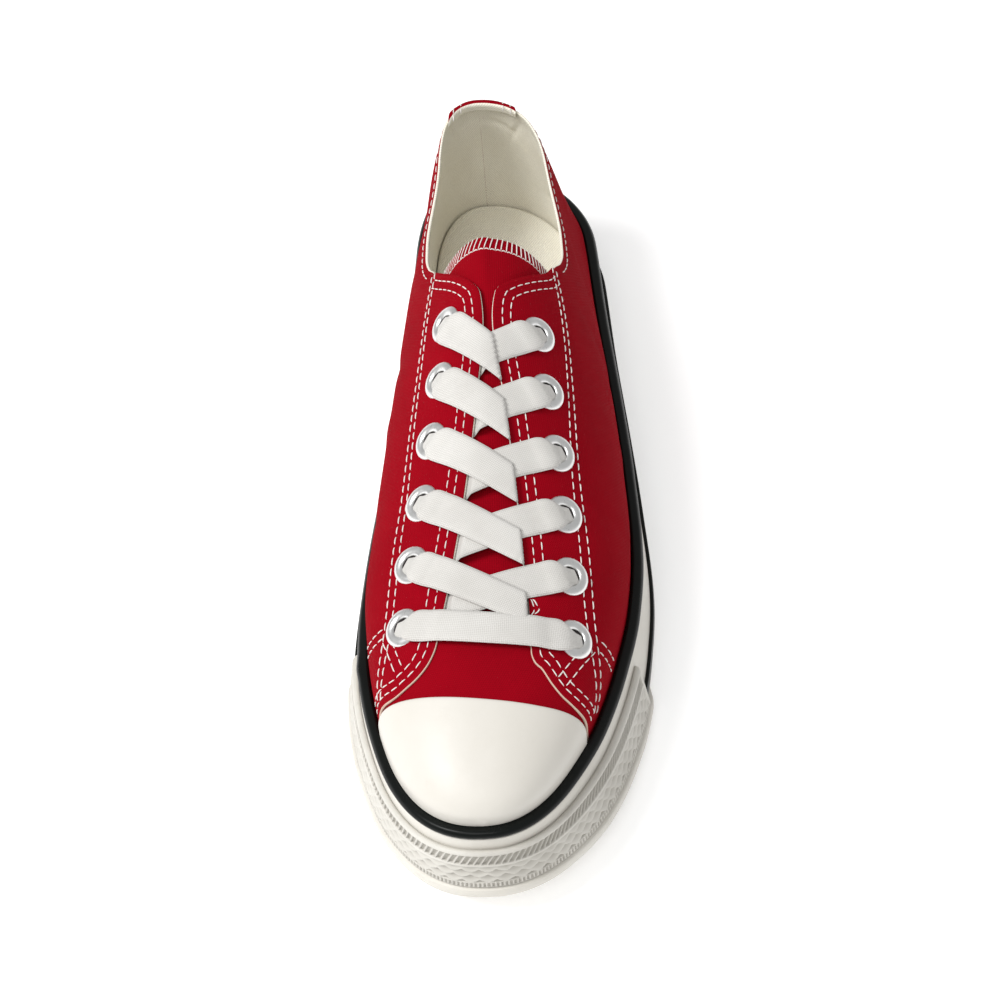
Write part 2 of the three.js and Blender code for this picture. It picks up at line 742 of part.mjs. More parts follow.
// A flat band through points {x, s, lift}, lift being its middle's height over the upper.
function band(path) {
  const curve = new THREE.CatmullRomCurve3(path.map(({ x, s, lift }) => new THREE.Vector3(x, s, lift)));
  const steps = 2 * (path.length - 1);
  const middle = curve.getPoints(steps).map(({ x, y, z }) => {
    const out = topNormal(x, y);
    return { at: topPoint(x, y, WALL).addScaledVector(out, z), out };
  });
  const rings = middle.map(({ at, out }, i) => {
    const before = middle[Math.max(i - 1, 0)].at;
    const after = middle[Math.min(i + 1, steps)].at;
    const across = after.clone().sub(before).cross(out).normalize();
    const corner = (a, b) =>
      at.clone().addScaledVector(across, (a * LACE_WIDTH) / 2).addScaledVector(out, (b * LACE_THICK) / 2).toArray();
    return [corner(-1, -1), corner(1, -1), corner(1, 1), corner(-1, 1)];
  });
  return loft(rings);
}

// Bands from each eyelet over to the other facing, one pair lower, and a bar at the bottom.
function makeLace() {
  const flat = 2 * CLEAR + LACE_THICK / 2;
  const high = flat + LACE_THICK * 0.75; // over another band
  const onEyelet = 2.7 * CLEAR + EYELET_FLANGE + LACE_THICK / 2;
  const bar = onEyelet + CLEAR; // the straight band at the bottom
  const past = EYELET_RADIUS + 1.5; // how far from an eyelet's middle its flange is passed
  const spot = (side, pair) => eyeletSpots.find((one) => one.side === side && one.pair === pair);
  const between = (from, to, t, lift) => ({ x: mix(from.x, to.x, t), s: mix(from.s, to.s, t), lift });
  const length = (from, to) => Math.hypot(to.x - from.x, to.s - from.s);
  const bands = [];
  for (let pair = 0; pair < EYELET_PAIRS - 1; pair += 1) {
    for (const [side, other, edge, crossing] of [
      ["medial", "lateral", "outer", high],
      ["lateral", "medial", "inner", flat],
    ]) {
      const from = spot(side, pair);
      const next = spot(other, pair + 1);
      const end = { x: mix(THROAT[edge](next.s / LAST_LENGTH) * HALF_WIDTH, next.x, 0.1), s: next.s + 1.5 };
      bands.push(
        band([
          between(from, end, 0, onEyelet),
          between(from, end, past / length(from, end), onEyelet),
          between(from, end, 0.66, crossing),
          between(from, end, 1, flat + CLEAR),
        ]),
      );
    }
  }
  const inner = spot("medial", EYELET_PAIRS - 1);
  const outer = spot("lateral", EYELET_PAIRS - 1);
  const share = past / length(inner, outer);
  bands.push(band([0, share, 1 - share, 1].map((t) => between(inner, outer, t, bar))));
  return bands.reduce((lace, one) => lace.add(one));
}

function makeEyelet(spot) {
  const bore = EYELET_BORE;
  const barrel = EYELET_BORE + EYELET_BARREL;
  const profile = [
    [bore, -WALL],
    [barrel, -WALL],
    [barrel, CLEAR],
    [EYELET_RADIUS, CLEAR],
    [EYELET_RADIUS - EYELET_BEVEL, CLEAR + EYELET_FLANGE],
    [bore, CLEAR + EYELET_FLANGE / 2],
  ];
  const frame = eyeletFrame(spot, 0);
  const rings = Array.from({ length: ROUND_STEPS }, (_, i) => {
    const angle = (2 * Math.PI * i) / ROUND_STEPS;
    return profile.map(([r, h]) =>
      new THREE.Vector3(r * Math.cos(angle), r * Math.sin(angle), h).applyMatrix4(frame).toArray(),
    );
  });
  return loft(rings, true);
}

const RUBBER = { color: 0xe9e4da, roughness: 0.55, metalness: 0 };
const BLACK = { color: 0x1b1d1c, roughness: 0.5, metalness: 0 };
const CANVAS = { color: 0x9d0f1c, roughness: 0.95, metalness: 0 };
const COTTON = { color: 0xf1efe9, roughness: 0.9, metalness: 0 };
const LINING = { color: 0xd8d2c0, roughness: 0.9, metalness: 0 };
const ALUMINIUM = { color: 0xc9cbcd, roughness: 0.35, metalness: 1 };

const shoe = new THREE.Group();

function addPiece(name, made, finish) {
  const mesh = made.getMesh();
  const geometry = new THREE.BufferGeometry();
  geometry.setAttribute("position", new THREE.BufferAttribute(mesh.vertProperties, 3));
  geometry.setIndex(new THREE.BufferAttribute(mesh.triVerts, 1));
  geometry.computeVertexNormals();
  const piece = new THREE.Mesh(geometry, new THREE.MeshStandardMaterial(finish));
  piece.name = name;
  shoe.add(piece);
}

addPiece("outsole", makeOutsole(), RUBBER);
addPiece("insole", makeInsole(), LINING);
addPiece("foxing", makeFoxing(), RUBBER);
addPiece("toe_bumper", makeToeBumper(), RUBBER);
addPiece("top_stripe", makeTopStripe(), BLACK);
addPiece("low_stripe", makeLowStripe(), BLACK);
addPiece("upper", makeUpper(), CANVAS);
addPiece("toe_cap", makeToeCap(), RUBBER);
addPiece("heel_strip", makeHeelStrip(), CANVAS);
addPiece("tongue", makeTongue(), CANVAS);
addPiece("lace", makeLace(), COTTON);
for (const spot of eyeletSpots) addPiece(spot.name, makeEyelet(spot), ALUMINIUM);

// The origin is under the middle of the shoe, on the floor.
const bounds = new THREE.Box3().setFromObject(shoe);
const middle = bounds.getCenter(new THREE.Vector3());
shoe.position.set(-middle.x, -middle.y, -bounds.min.z);

export default shoe;
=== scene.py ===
import math

import bmesh
import bpy
import numpy as np
from mathutils import Matrix, Vector
from mathutils.bvhtree import BVHTree


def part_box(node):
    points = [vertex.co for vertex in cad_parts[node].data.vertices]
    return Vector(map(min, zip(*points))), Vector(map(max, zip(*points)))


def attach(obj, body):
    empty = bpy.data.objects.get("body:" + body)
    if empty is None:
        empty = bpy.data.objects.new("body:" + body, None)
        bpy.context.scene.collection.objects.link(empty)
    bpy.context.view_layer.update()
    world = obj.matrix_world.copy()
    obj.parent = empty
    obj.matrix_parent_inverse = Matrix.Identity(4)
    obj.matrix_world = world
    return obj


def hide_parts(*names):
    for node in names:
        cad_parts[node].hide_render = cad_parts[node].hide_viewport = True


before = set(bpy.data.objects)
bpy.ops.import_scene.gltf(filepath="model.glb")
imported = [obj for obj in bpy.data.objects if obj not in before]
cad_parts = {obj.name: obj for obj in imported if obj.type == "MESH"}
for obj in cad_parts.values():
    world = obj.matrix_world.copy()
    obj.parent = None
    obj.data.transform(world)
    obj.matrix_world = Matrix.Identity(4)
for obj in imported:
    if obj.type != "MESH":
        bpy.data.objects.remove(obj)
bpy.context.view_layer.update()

# Every form below is in millimetres, in the last's own axes: x across the foot (the outer
# side is positive), s along it from the heel, and z up. put() turns them into the frame.
MM = 0.001

# The last and the layers on it, as in the part's source
LAST_LENGTH = 250.0
HALF_WIDTH = 39.5
INSTEP_HEIGHT = 96.0
SHOULDER = 30.0
HEEL_ROUND = 0.12 * LAST_LENGTH
TOE_ROUND = 0.368 * LAST_LENGTH
HEEL_POWER = 2.2
TOE_POWER = 2.26
CREST_ROUND = 0.75
TOE_SPRING = 9.0
SPRING_FROM = 0.62
HEEL_LEAN = 8.0
LEAN_LENGTH = 0.3 * LAST_LENGTH
LEAN_FROM = 24.0
COLLAR_HEIGHT = 69.0
CLEAR = 0.3
WALL = 1.7
FACING_STEP = 0.7
CAP_WALL = 1.2
STRIP_WALL = 0.9
STRIP_WIDTH = 21.0
STRIP_TURN = 2.5
TONGUE_WALL = 2.2
TONGUE_GAP = 0.9
OUTSOLE = 4.0
OUTSOLE_LIP = 0.6
FILLER_TOP = 13.5
INSOLE = 5.0
ARCH_LIFT = 1.2
ARCH_FROM = 0.24
ARCH_TO = 0.52
FOXING = 2.9
FOXING_HEIGHT = 30.0
BEAD = 3.0
BEAD_PROUD = 0.6
BUMPER = 1.6
PLAIN_BAND = 4.0
LOW_STRIPE = 2.4
LOW_STRIPE_WALL = 0.7
LOW_STRIPE_FROM = 5.2
TREAD_DEPTH = 1.4
TREAD_GROOVE = 2.4
TREAD_PITCH = 11.0
TREAD_FROM = 18.0
THROAT_FROM = 0.33 * LAST_LENGTH
THROAT_END = 0.804 * LAST_LENGTH

# The toe cap's rear edge: how far along the foot it is, how far it is bowed back a half width
# from its middle, where that middle is in half widths, and how sharply it turns back. It
# follows the photo, and so do the quarters' front edges below. The solids' edges lie up to
# 6 mm further back.
CAP_REAR = 0.898 * LAST_LENGTH
CAP_BOW = 5.7
CAP_MIDDLE = 0.28
CAP_CURVE = 1.6

# The lacing
EYELET_PAIRS = 6
EYELET_FROM = 0.4348 * LAST_LENGTH
EYELET_PITCH = 0.0712 * LAST_LENGTH
EYELET_STAGGER = 0.0208 * LAST_LENGTH
EYELET_RADIUS = 5.65
EYELET_BORE = 2.75
LACE_WIDTH = 9.0

FOXING_IN = WALL + CLEAR
FOXING_OUT = FOXING_IN + FOXING
FOXING_FROM = OUTSOLE + CLEAR
INSOLE_TOP = FILLER_TOP + CLEAR + INSOLE
INNER, OUTER = -1, 1


def curve_through(xs, ys):
    """A smooth curve through the points that never overshoots them."""
    xs, ys = np.array(xs, float), np.array(ys, float)
    run = np.diff(xs)
    pitch = np.diff(ys) / run
    slope = np.zeros(len(xs))
    slope[0], slope[-1] = pitch[0], pitch[-1]
    for i in range(1, len(xs) - 1):
        if pitch[i - 1] * pitch[i] > 0:
            before = 2 * run[i] + run[i - 1]
            after = run[i] + 2 * run[i - 1]
            slope[i] = (before + after) / (before / pitch[i - 1] + after / pitch[i])

    def at(value):
        x = np.clip(value, xs[0], xs[-1])
        i = np.clip(np.searchsorted(xs, x, side="right") - 1, 0, len(xs) - 2)
        t = (x - xs[i]) / run[i]
        r = 1 - t
        return (
            ys[i] * (1 + 2 * t) * r * r
            + slope[i] * run[i] * t * r * r
            + ys[i + 1] * t * t * (3 - 2 * t)
            - slope[i + 1] * run[i] * t * t * r
        )

    return at


def table(columns, rows):
    """Rows of numbers under named columns, as one smooth curve for each column but the first."""
    at = [row[0] for row in rows]
    return {name: curve_through(at, [row[i + 1] for row in rows]) for i, name in enumerate(columns[1:])}


SECTIONS = table(
    ["at", "inner", "outer", "top", "full", "ridge", "swell_in", "swell_out"],
    [
        [0.0, 0.42, 0.62, 0.945, 2.0, -0.06, 0.04, -0.08],
        [0.12, 0.475, 0.7, 0.917, 1.5, -0.015, 0.05, -0.11],
        [0.25, 0.555, 0.755, 0.898, 1.53, -0.005, 0.15, -0.02],
        [0.38, 0.645, 0.83, 0.88, 1.64, 0.0, 0.13, 0.01],
        [0.5, 0.74, 0.9, 0.814, 1.73, -0.01, 0.085, 0.0],
        [0.62, 0.828, 0.94, 0.714, 1.8, -0.025, 0.05, 0.0],
        [0.7, 0.858, 0.925, 0.637, 2.0, -0.047, 0.04, 0.0],
        [0.78, 0.871, 0.88, 0.573, 2.1, -0.068, 0.0, 0.0],
        [0.86, 0.871, 0.826, 0.529, 2.2, -0.078, 0.0, 0.0],
        [0.93, 0.867, 0.79, 0.49, 2.2, -0.108, 0.0, 0.0],
        [1.0, 0.876, 0.78, 0.46, 2.2, -0.133, 0.0, 0.0],
    ],
)

SIDE_WALL = table(
    ["at", "top", "flare_in", "flare_out"],
    [
        [0.0, 1.0, 0.83, 0.83],
        [0.2, 0.93, 0.9, 0.7],
        [0.45, 0.88, 0.97, 0.62],
        [0.6, 0.87, 1.1, 0.83],
        [0.7, 0.87, 0.97, 1.0],
        [0.8, 0.87, 0.97, 1.5],
        [0.9, 0.88, 0.8, 1.55],
        [0.96, 0.89, 0.55, 1.0],
        [1.0, 0.9, 0.48, 0.48],
    ],
)

COLLAR = table(
    ["at", "height"],
    [
        [-0.12, 1.0],
        [0.035, 1.0],
        [0.11, 0.91],
        [0.2, 0.874],
        [0.27, 0.9],
        [0.305, 0.95],
        [0.33, 1.02],
    ],
)

THROAT = table(
    ["at", "inner", "outer"],
    [
        [0.329, -0.395, 0.485],
        [0.35, -0.325, 0.44],
        [0.378, -0.205, 0.3],
        [0.4, -0.11, 0.16],
        [0.415, -0.062, 0.08],
        [0.45, -0.045, 0.055],
        [0.552, -0.11, 0.124],
        [0.665, -0.223, 0.19],
        [0.753, -0.332, 0.223],
        [0.835, -0.425, 0.238],
    ],
)

TONGUE = table(
    ["at", "inner", "outer"],
    [
        [0.326, -0.34, 0.43],
        [0.332, -0.38, 0.465],
        [0.348, -0.42, 0.5],
        [0.37, -0.45, 0.53],
        [0.5, -0.5, 0.57],
        [0.7, -0.5, 0.48],
        [0.84, -0.42, 0.32],
    ],
)

# The front edge of the quarters, from the throat out to the side wall: shares of the half
# width and of the last's length.
QUARTER_FRONT = {
    INNER: [
        [-0.425, 0.829],
        [-0.511, 0.851],
        [-0.6, 0.861],
        [-0.72, 0.867],
        [-0.83, 0.863],
        [-1.6, 0.856],
    ],
    OUTER: [
        [0.238, 0.841],
        [0.309, 0.856],
        [0.37, 0.87],
        [0.45, 0.881],
        [0.56, 0.886],
        [0.7, 0.885],
        [1.6, 0.88],
    ],
}
BUMPER_END = {INNER: 0.72, OUTER: 0.752}
BUMPER_FADE = 0.025
EYELET_ROWS = {
    INNER: [-0.31, -0.36, -0.43, -0.505, -0.585, -0.65],
    OUTER: [0.365, 0.41, 0.465, 0.495, 0.515, 0.53],
}


def mix(a, b, t):
    return a + (b - a) * t


def ease(t):
    t = np.clip(t, 0, 1)
    return t * t * (3 - 2 * t)


def dome(t, power):
    return (1 - (1 - np.clip(t, 0, 1)) ** power) ** (1 / power)


def hump(t):
    """1 at 0, and falling off softly on either side."""
    return np.exp(-t ** 2)


def unit(vectors):
    return vectors / np.maximum(np.linalg.norm(vectors, axis=-1, keepdims=True), 1e-9)


def bisect(past, low, high):
    """Between low and high, where past turns from false to true, for each entry."""
    for _ in range(36):
        middle = (low + high) / 2
        beyond = past(middle)
        high = np.where(beyond, middle, high)
        low = np.where(beyond, low, middle)
    return high


def way_along(line):
    """Distances along a line's points, from its start."""
    return np.concatenate([[0], np.cumsum(np.linalg.norm(np.diff(line, axis=0), axis=-1))])


def share_of(s, grow):
    return np.clip((s + grow) / (LAST_LENGTH + 2 * grow), 0, 1)


def station(u, grow):
    return -grow + (LAST_LENGTH + 2 * grow) * u


def ridge_x(s, grow):
    return SECTIONS["ridge"](share_of(s, grow)) * HALF_WIDTH


def half_width(s, grow, side):
    at = share_of(s, grow)
    return np.where(side > 0, SECTIONS["outer"](at), SECTIONS["inner"](at)) * HALF_WIDTH + grow


def wall_x(s, grow, side):
    heel = dome((s + grow) / (HEEL_ROUND + grow), HEEL_POWER)
    toe = dome((LAST_LENGTH + grow - s) / (TOE_ROUND + grow), TOE_POWER)
    return ridge_x(s, grow) + side * half_width(s, grow, side) * heel * toe


def crest_z(s, grow):
    fall = dome((LAST_LENGTH + grow - s) / (TOE_ROUND * CREST_ROUND + grow), TOE_POWER)
    top = SECTIONS["top"](share_of(s, grow)) * INSTEP_HEIGHT + grow
    return SHOULDER + (top - SHOULDER) * fall


def toe_rise(s):
    t = np.clip((s / LAST_LENGTH - SPRING_FROM) / (1 - SPRING_FROM), 0, 1.2)
    return TOE_SPRING * t * t


def heel_lean(s, z):
    t = (z - LEAN_FROM) / (COLLAR_HEIGHT - LEAN_FROM)
    return HEEL_LEAN * t * np.abs(t) * np.clip(1 - s / LEAN_LENGTH, 0, 1) ** 2


def place(x, s, z):
    """A point of the straight last, bent back at the heel and up at the toe."""
    along = s + heel_lean(s, z)
    return np.stack(np.broadcast_arrays(x, along, z + toe_rise(along)), -1)


def arch_point(s, grow, side, angle):
    """The section above the shoulder, from an angle of 0 there to 90 degrees on the crest."""
    at = share_of(s, grow)
    power = 2 / SECTIONS["full"](at)
    swell = np.where(side > 0, SECTIONS["swell_out"](at), SECTIONS["swell_in"](at))
    up = np.maximum(np.sin(angle), 0) ** power
    out = np.maximum(np.cos(angle), 0) ** power * (1 + swell * 6.75 * up * (1 - up) ** 2)
    ridge = ridge_x(s, grow)
    return ridge + (wall_x(s, grow, side) - ridge) * out, SHOULDER + (crest_z(s, grow) - SHOULDER) * up


def solve_angle(past, shape):
    """The angle up the arch where past turns from false to true, for each entry."""
    return bisect(past, np.zeros(shape), np.full(shape, math.pi / 2))


def top_z(x, s, grow):
    """Height of the grown last over a point of the plan."""
    x, s = np.broadcast_arrays(np.asarray(x, float), np.asarray(s, float))
    side = np.where(x > ridge_x(s, grow), 1, -1)
    angle = solve_angle(lambda a: side * (arch_point(s, grow, side, a)[0] - x) <= 0, x.shape)
    return arch_point(s, grow, side, angle)[1] + toe_rise(s)


def top_frame(x, s):
    """Points of the upper's outside over the plan, and the outward direction there."""
    step = 1.0
    zero, run = np.zeros_like(x), np.full_like(x, 2 * step)
    across = np.stack([run, zero, top_z(x + step, s, WALL) - top_z(x - step, s, WALL)], -1)
    along = np.stack([zero, run, top_z(x, s + step, WALL) - top_z(x, s - step, WALL)], -1)
    return np.stack([x, s, top_z(x, s, WALL)], -1), unit(np.cross(across, along))


def foxing_top(s):
    return SIDE_WALL["top"](s / LAST_LENGTH) * FOXING_HEIGHT


# Where the last stands in the frame: the insole's front end and the heel strip's sides say so.
STRIP_MIDDLE = float(ridge_x(0.0, 0.0)) + 1.2
strip_low, strip_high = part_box("heel_strip")
SHIFT_X = (strip_low.x + strip_high.x) / 2 / MM - STRIP_MIDDLE
SHIFT_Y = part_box("insole")[0].y / MM + LAST_LENGTH - CLEAR


def put(points):
    """Points (x, s, z) in millimetres, in the frame, in metres."""
    points = np.asarray(points, float)
    return np.stack([points[..., 0] + SHIFT_X, SHIFT_Y - points[..., 1], points[..., 2]], -1) * MM


# Meshes


def make_mesh(name, points, faces, materials, face_materials=None, uv=None, values=None, smooth=True):
    """A mesh object from points (x, s, z), with its seams merged and its faces outwards."""
    mesh = bpy.data.meshes.new(name)
    mesh.from_pydata(put(points).reshape(-1, 3).tolist(), [], np.asarray(faces).tolist())
    for material in materials:
        mesh.materials.append(material)
    if face_materials is not None:
        mesh.polygons.foreach_set("material_index", np.asarray(face_materials, np.int32))
    corners = np.asarray(faces).reshape(-1)
    if uv is not None:
        layer = mesh.uv_layers.new(name="UVMap")
        layer.data.foreach_set("uv", np.asarray(uv, float).reshape(-1, 2)[corners].reshape(-1))
    for key, entries in (values or {}).items():
        attribute = mesh.attributes.new(key, "FLOAT", "POINT")
        attribute.data.foreach_set("value", np.asarray(entries, np.float32).reshape(-1))
    edit = bmesh.new()
    edit.from_mesh(mesh)
    bmesh.ops.remove_doubles(edit, verts=edit.verts, dist=0.002 * MM)
    bmesh.ops.dissolve_degenerate(edit, edges=edit.edges, dist=0.001 * MM)
    bmesh.ops.recalc_face_normals(edit, faces=edit.faces)
    edit.to_mesh(mesh)
    edit.free()
    mesh.polygons.foreach_set("use_smooth", [smooth] * len(mesh.polygons))
    piece = bpy.data.objects.new(name, mesh)
    bpy.context.scene.collection.objects.link(piece)
    return piece


def grid_faces(rows, columns, wrap_rows=False, wrap_columns=False):
    """Four-sided faces over a grid of points, numbered row by row."""
    i = np.arange(rows if wrap_rows else rows - 1)
    j = np.arange(columns if wrap_columns else columns - 1)
    i, j = np.meshgrid(i, j, indexing="ij")
    i2, j2 = (i + 1) % rows, (j + 1) % columns
    corners = [(i, j), (i2, j), (i2, j2), (i, j2)]
    return np.stack([row * columns + column for row, column in corners], -1).reshape(-1, 4)


def grid_uv(points):
    """Distances along the rows and columns of a grid, as texture coordinates in millimetres."""
    rows = np.linalg.norm(np.diff(points, axis=0), axis=-1)
    columns = np.linalg.norm(np.diff(points, axis=1), axis=-1)
    u = np.concatenate([np.zeros((1, points.shape[1])), np.cumsum(rows, 0)], 0)
    v = np.concatenate([np.zeros((points.shape[0], 1)), np.cumsum(columns, 1)], 1)
    return np.stack([np.broadcast_to(u.mean(1, keepdims=True), v.shape), v], -1)


def grid_normals(points):
    """Unit normals of a grid of points."""
    return unit(np.cross(np.gradient(points, axis=0), np.gradient(points, axis=1)))


def finish_piece(piece, slot, *nodes):
    """Puts a piece on the shoe's one body, in place of CAD nodes."""
    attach(piece, "root")
    if nodes:
        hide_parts(*nodes)


def ring_piece(name, rings, materials, slot, node, wrap_rows=False, **more):
    """A piece from closed loops laid side by side, in place of a CAD node."""
    faces = grid_faces(*rings.shape[:2], wrap_rows=wrap_rows, wrap_columns=True)
    finish_piece(make_mesh(name, rings, faces, materials, **more), slot, node)


def part_of(points, faces, uv, kind=0):
    """One grid of a piece that is put together from several."""
    return {"points": points, "faces": faces, "kinds": np.full(len(faces), kind), "uv": uv}


# Materials


class Nodes:
    """A short way to build a material's nodes."""

    def __init__(self, name):
        self.material = bpy.data.materials.new(name)
        self.material.use_nodes = True
        self.tree = self.material.node_tree
        self.shader = self.tree.nodes["Principled BSDF"]

    def add(self, kind, inputs=None, **settings):
        node = self.tree.nodes.new(kind)
        for key, value in settings.items():
            setattr(node, key, value)
        for key, value in (inputs or {}).items():
            self.feed(node, key, value)
        return node

    def feed(self, node, key, value):
        if isinstance(value, bpy.types.NodeSocket):
            self.tree.links.new(value, node.inputs[key])
        else:
            node.inputs[key].default_value = value

    def math(self, operation, a, b=0.0, clamp=False):
        node = self.add("ShaderNodeMath", operation=operation, use_clamp=clamp)
        self.feed(node, 0, a)
        self.feed(node, 1, b)
        return node.outputs[0]

    def noise(self, where, scale, detail=3.0, rough=0.55):
        inputs = {"Vector": where, "Scale": scale, "Detail": detail, "Roughness": rough}
        return self.add("ShaderNodeTexNoise", inputs).outputs["Fac"]

    def stretched(self, where, scale):
        return self.add("ShaderNodeMapping", {"Vector": where, "Scale": scale}).outputs["Vector"]

    def ramp(self, value, low, high, to_low=0.0, to_high=1.0):
        inputs = {"Value": value, "From Min": low, "From Max": high, "To Min": to_low, "To Max": to_high}
        return self.add("ShaderNodeMapRange", inputs).outputs["Result"]

    def blend(self, share, a, b, kind="MIX"):
        inputs = {"Factor": share, "A": a, "B": b}
        return self.add("ShaderNodeMix", inputs, data_type="RGBA", blend_type=kind).outputs["Result"]

    def bump(self, height, strength, distance, normal=None):
        node = self.add("ShaderNodeBump", {"Height": height, "Strength": strength, "Distance": distance})
        if normal is not None:
            self.feed(node, "Normal", normal)
        return node.outputs["Normal"]

    def place(self):
        return self.add("ShaderNodeTexCoord").outputs["Object"]

    def uv(self):
        return self.add("ShaderNodeTexCoord").outputs["UV"]

    def value(self, name):
        return self.add("ShaderNodeAttribute", attribute_name=name).outputs["Fac"]

    def set(self, **inputs):
        for key, value in inputs.items():
            self.feed(self.shader, key.replace("_", " "), value)
        return self.material


def weave(nodes, where, pitch):
    """Threads over and under each other, as a height from 0 to 1, pitch in the units of where."""
    split = nodes.add("ShaderNodeSeparateXYZ", {"Vector": where})
    u = nodes.math("MULTIPLY", split.outputs["X"], math.pi / pitch)
    v = nodes.math("MULTIPLY", split.outputs["Y"], math.pi / pitch)
    warp = nodes.math("ABSOLUTE", nodes.math("SINE", u))
    weft = nodes.math("ABSOLUTE", nodes.math("SINE", v))
    over = nodes.math("MULTIPLY", nodes.math("SINE", u), nodes.math("SINE", v))
    which = nodes.ramp(over, -0.2, 0.2)
    first = nodes.math("MULTIPLY", warp, which)
    second = nodes.math("MULTIPLY", weft, nodes.math("SUBTRACT", 1.0, which))
    return nodes.math("ADD", first, second)


RECESS_SHADE_AND_DIRT = 0.62  # how far the lowest parts of the toe strip go over to the dark colour: painted shade in the recesses, with a little dirt


def dimmed(colour, share):
    return tuple(share * c for c in colour[:3]) + (1,)


def twill(nodes, where, pitch):
    """Slanting ribs of a soft twill, as a height from 0 to 1."""
    split = nodes.add("ShaderNodeSeparateXYZ", {"Vector": where})
    slant = nodes.math("ADD", split.outputs["X"], nodes.math("MULTIPLY", split.outputs["Y"], 0.7))
    fuzz = nodes.math("MULTIPLY", nodes.noise(where, 1.4, 4.0, 0.7), 0.9)
    wave = nodes.math("SINE", nodes.math("MULTIPLY", nodes.math("ADD", slant, fuzz), 2 * math.pi / pitch))
    return nodes.ramp(wave, -1.0, 1.0)


def canvas_material(name, colour, worn, pitch=0.62, threads_of=weave, depth=0.72):
    """Cloth with threads, slubs and worn patches. depth is how bright the gaps are."""
    nodes = Nodes(name)
    uv, where = nodes.uv(), nodes.place()
    threads = threads_of(nodes, uv, pitch)
    patches = nodes.noise(where, 38.0, 4.0, 0.6)
    slubs = nodes.noise(nodes.stretched(uv, (0.35, 2.2, 1.0)), 1.0, 2.0)
    tone = nodes.math("ADD", nodes.math("MULTIPLY", patches, 0.75), nodes.math("MULTIPLY", slubs, 0.25))
    base = nodes.blend(nodes.ramp(tone, 0.35, 0.68), colour, worn)
    shade = nodes.ramp(threads, 0.0, 0.6, depth, 1.0)
    lit = nodes.blend(1.0, base, shade, "MULTIPLY")
    normal = nodes.bump(threads, 0.5, 0.00025)
    normal = nodes.bump(nodes.noise(where, 90.0, 3.0), 0.25, 0.0006, normal)
    return nodes.set(Base_Color=lit, Roughness=0.95, Normal=normal, Specular_IOR_Level=0.04)


def rubber_material(name, colour, dirt_and_shade, roughness, recess=False, scuffs=0.35, shine=0.5):
    """Rubber with soft clouds and scuffs, and darker where a piece's recess value is high: painted shade
    there, with a little dirt.
    """
    nodes = Nodes(name)
    where = nodes.place()
    cloud = nodes.noise(where, 26.0, 5.0, 0.6)
    grime = nodes.ramp(nodes.noise(where, 120.0, 6.0, 0.7), 0.58, 0.8, 0.0, scuffs)
    base = nodes.blend(nodes.math("MULTIPLY", nodes.ramp(cloud, 0.4, 0.72), 0.35), colour, dirt_and_shade)
    base = nodes.blend(grime, base, dirt_and_shade)
    if recess:
        # darker where the piece is sunk: painted shade in the recesses, with a little dirt
        base = nodes.blend(nodes.math("MULTIPLY", nodes.value("recess"), RECESS_SHADE_AND_DIRT), base, dirt_and_shade)
    rough = nodes.ramp(nodes.noise(where, 70.0, 4.0), 0.3, 0.7, roughness - 0.06, roughness + 0.08)
    normal = nodes.bump(nodes.noise(where, 420.0, 4.0), 0.12, 0.0004)
    normal = nodes.bump(nodes.noise(where, 45.0, 2.0), 0.2, 0.0012, normal)
    return nodes.set(Base_Color=base, Roughness=rough, Normal=normal, Specular_IOR_Level=shine)


def woven_tape_material(name, colour, shadow):
    """A flat woven lace: a fine plain weave, a little grey where it has been handled."""
    nodes = Nodes(name)
    threads = weave(nodes, nodes.uv(), 0.52)
    dark = nodes.ramp(threads, 0.0, 0.6, 0.75, 0.0)
    soft = nodes.ramp(nodes.noise(nodes.place(), 60.0, 3.0), 0.4, 0.75, 0.0, 0.22)
    base = nodes.blend(nodes.math("ADD", dark, soft, clamp=True), colour, shadow)
    normal = nodes.bump(threads, 0.5, 0.0003)
    return nodes.set(Base_Color=base, Roughness=0.88, Normal=normal, Sheen_Weight=0.1, Sheen_Roughness=0.4)


def thread_material(name, colour):
    nodes = Nodes(name)
    twist = nodes.noise(nodes.place(), 2600.0, 2.0)
    base = nodes.blend(nodes.ramp(twist, 0.35, 0.65), colour, dimmed(colour, 0.8))
    return nodes.set(Base_Color=base, Roughness=0.75, Normal=nodes.bump(twist, 0.4, 0.0002))


def metal_material(name, colour):
    nodes = Nodes(name)
    where = nodes.place()
    rough = nodes.ramp(nodes.noise(where, 700.0, 3.0), 0.3, 0.7, 0.26, 0.42)
    normal = nodes.bump(nodes.noise(where, 900.0, 2.0), 0.08, 0.0002)
    tone = nodes.blend(nodes.noise(where, 300.0, 2.0), colour, dimmed(colour, 0.86))
    return nodes.set(Base_Color=tone, Metallic=1.0, Roughness=rough, Normal=normal)


RED = canvas_material("red_canvas", (0.3, 0.0012, 0.008, 1), (0.25, 0.001, 0.0065, 1))
LINING = canvas_material("cotton_lining", (0.93, 0.9, 0.8, 1), (0.86, 0.82, 0.7, 1), 0.85, twill, 0.82)
RAW_EDGE = canvas_material("raw_edge", (0.72, 0.6, 0.48, 1), (0.6, 0.4, 0.32, 1), pitch=0.4)
RUBBER = rubber_material("white_rubber", (0.66, 0.635, 0.58, 1), (0.5, 0.47, 0.41, 1), 0.5)
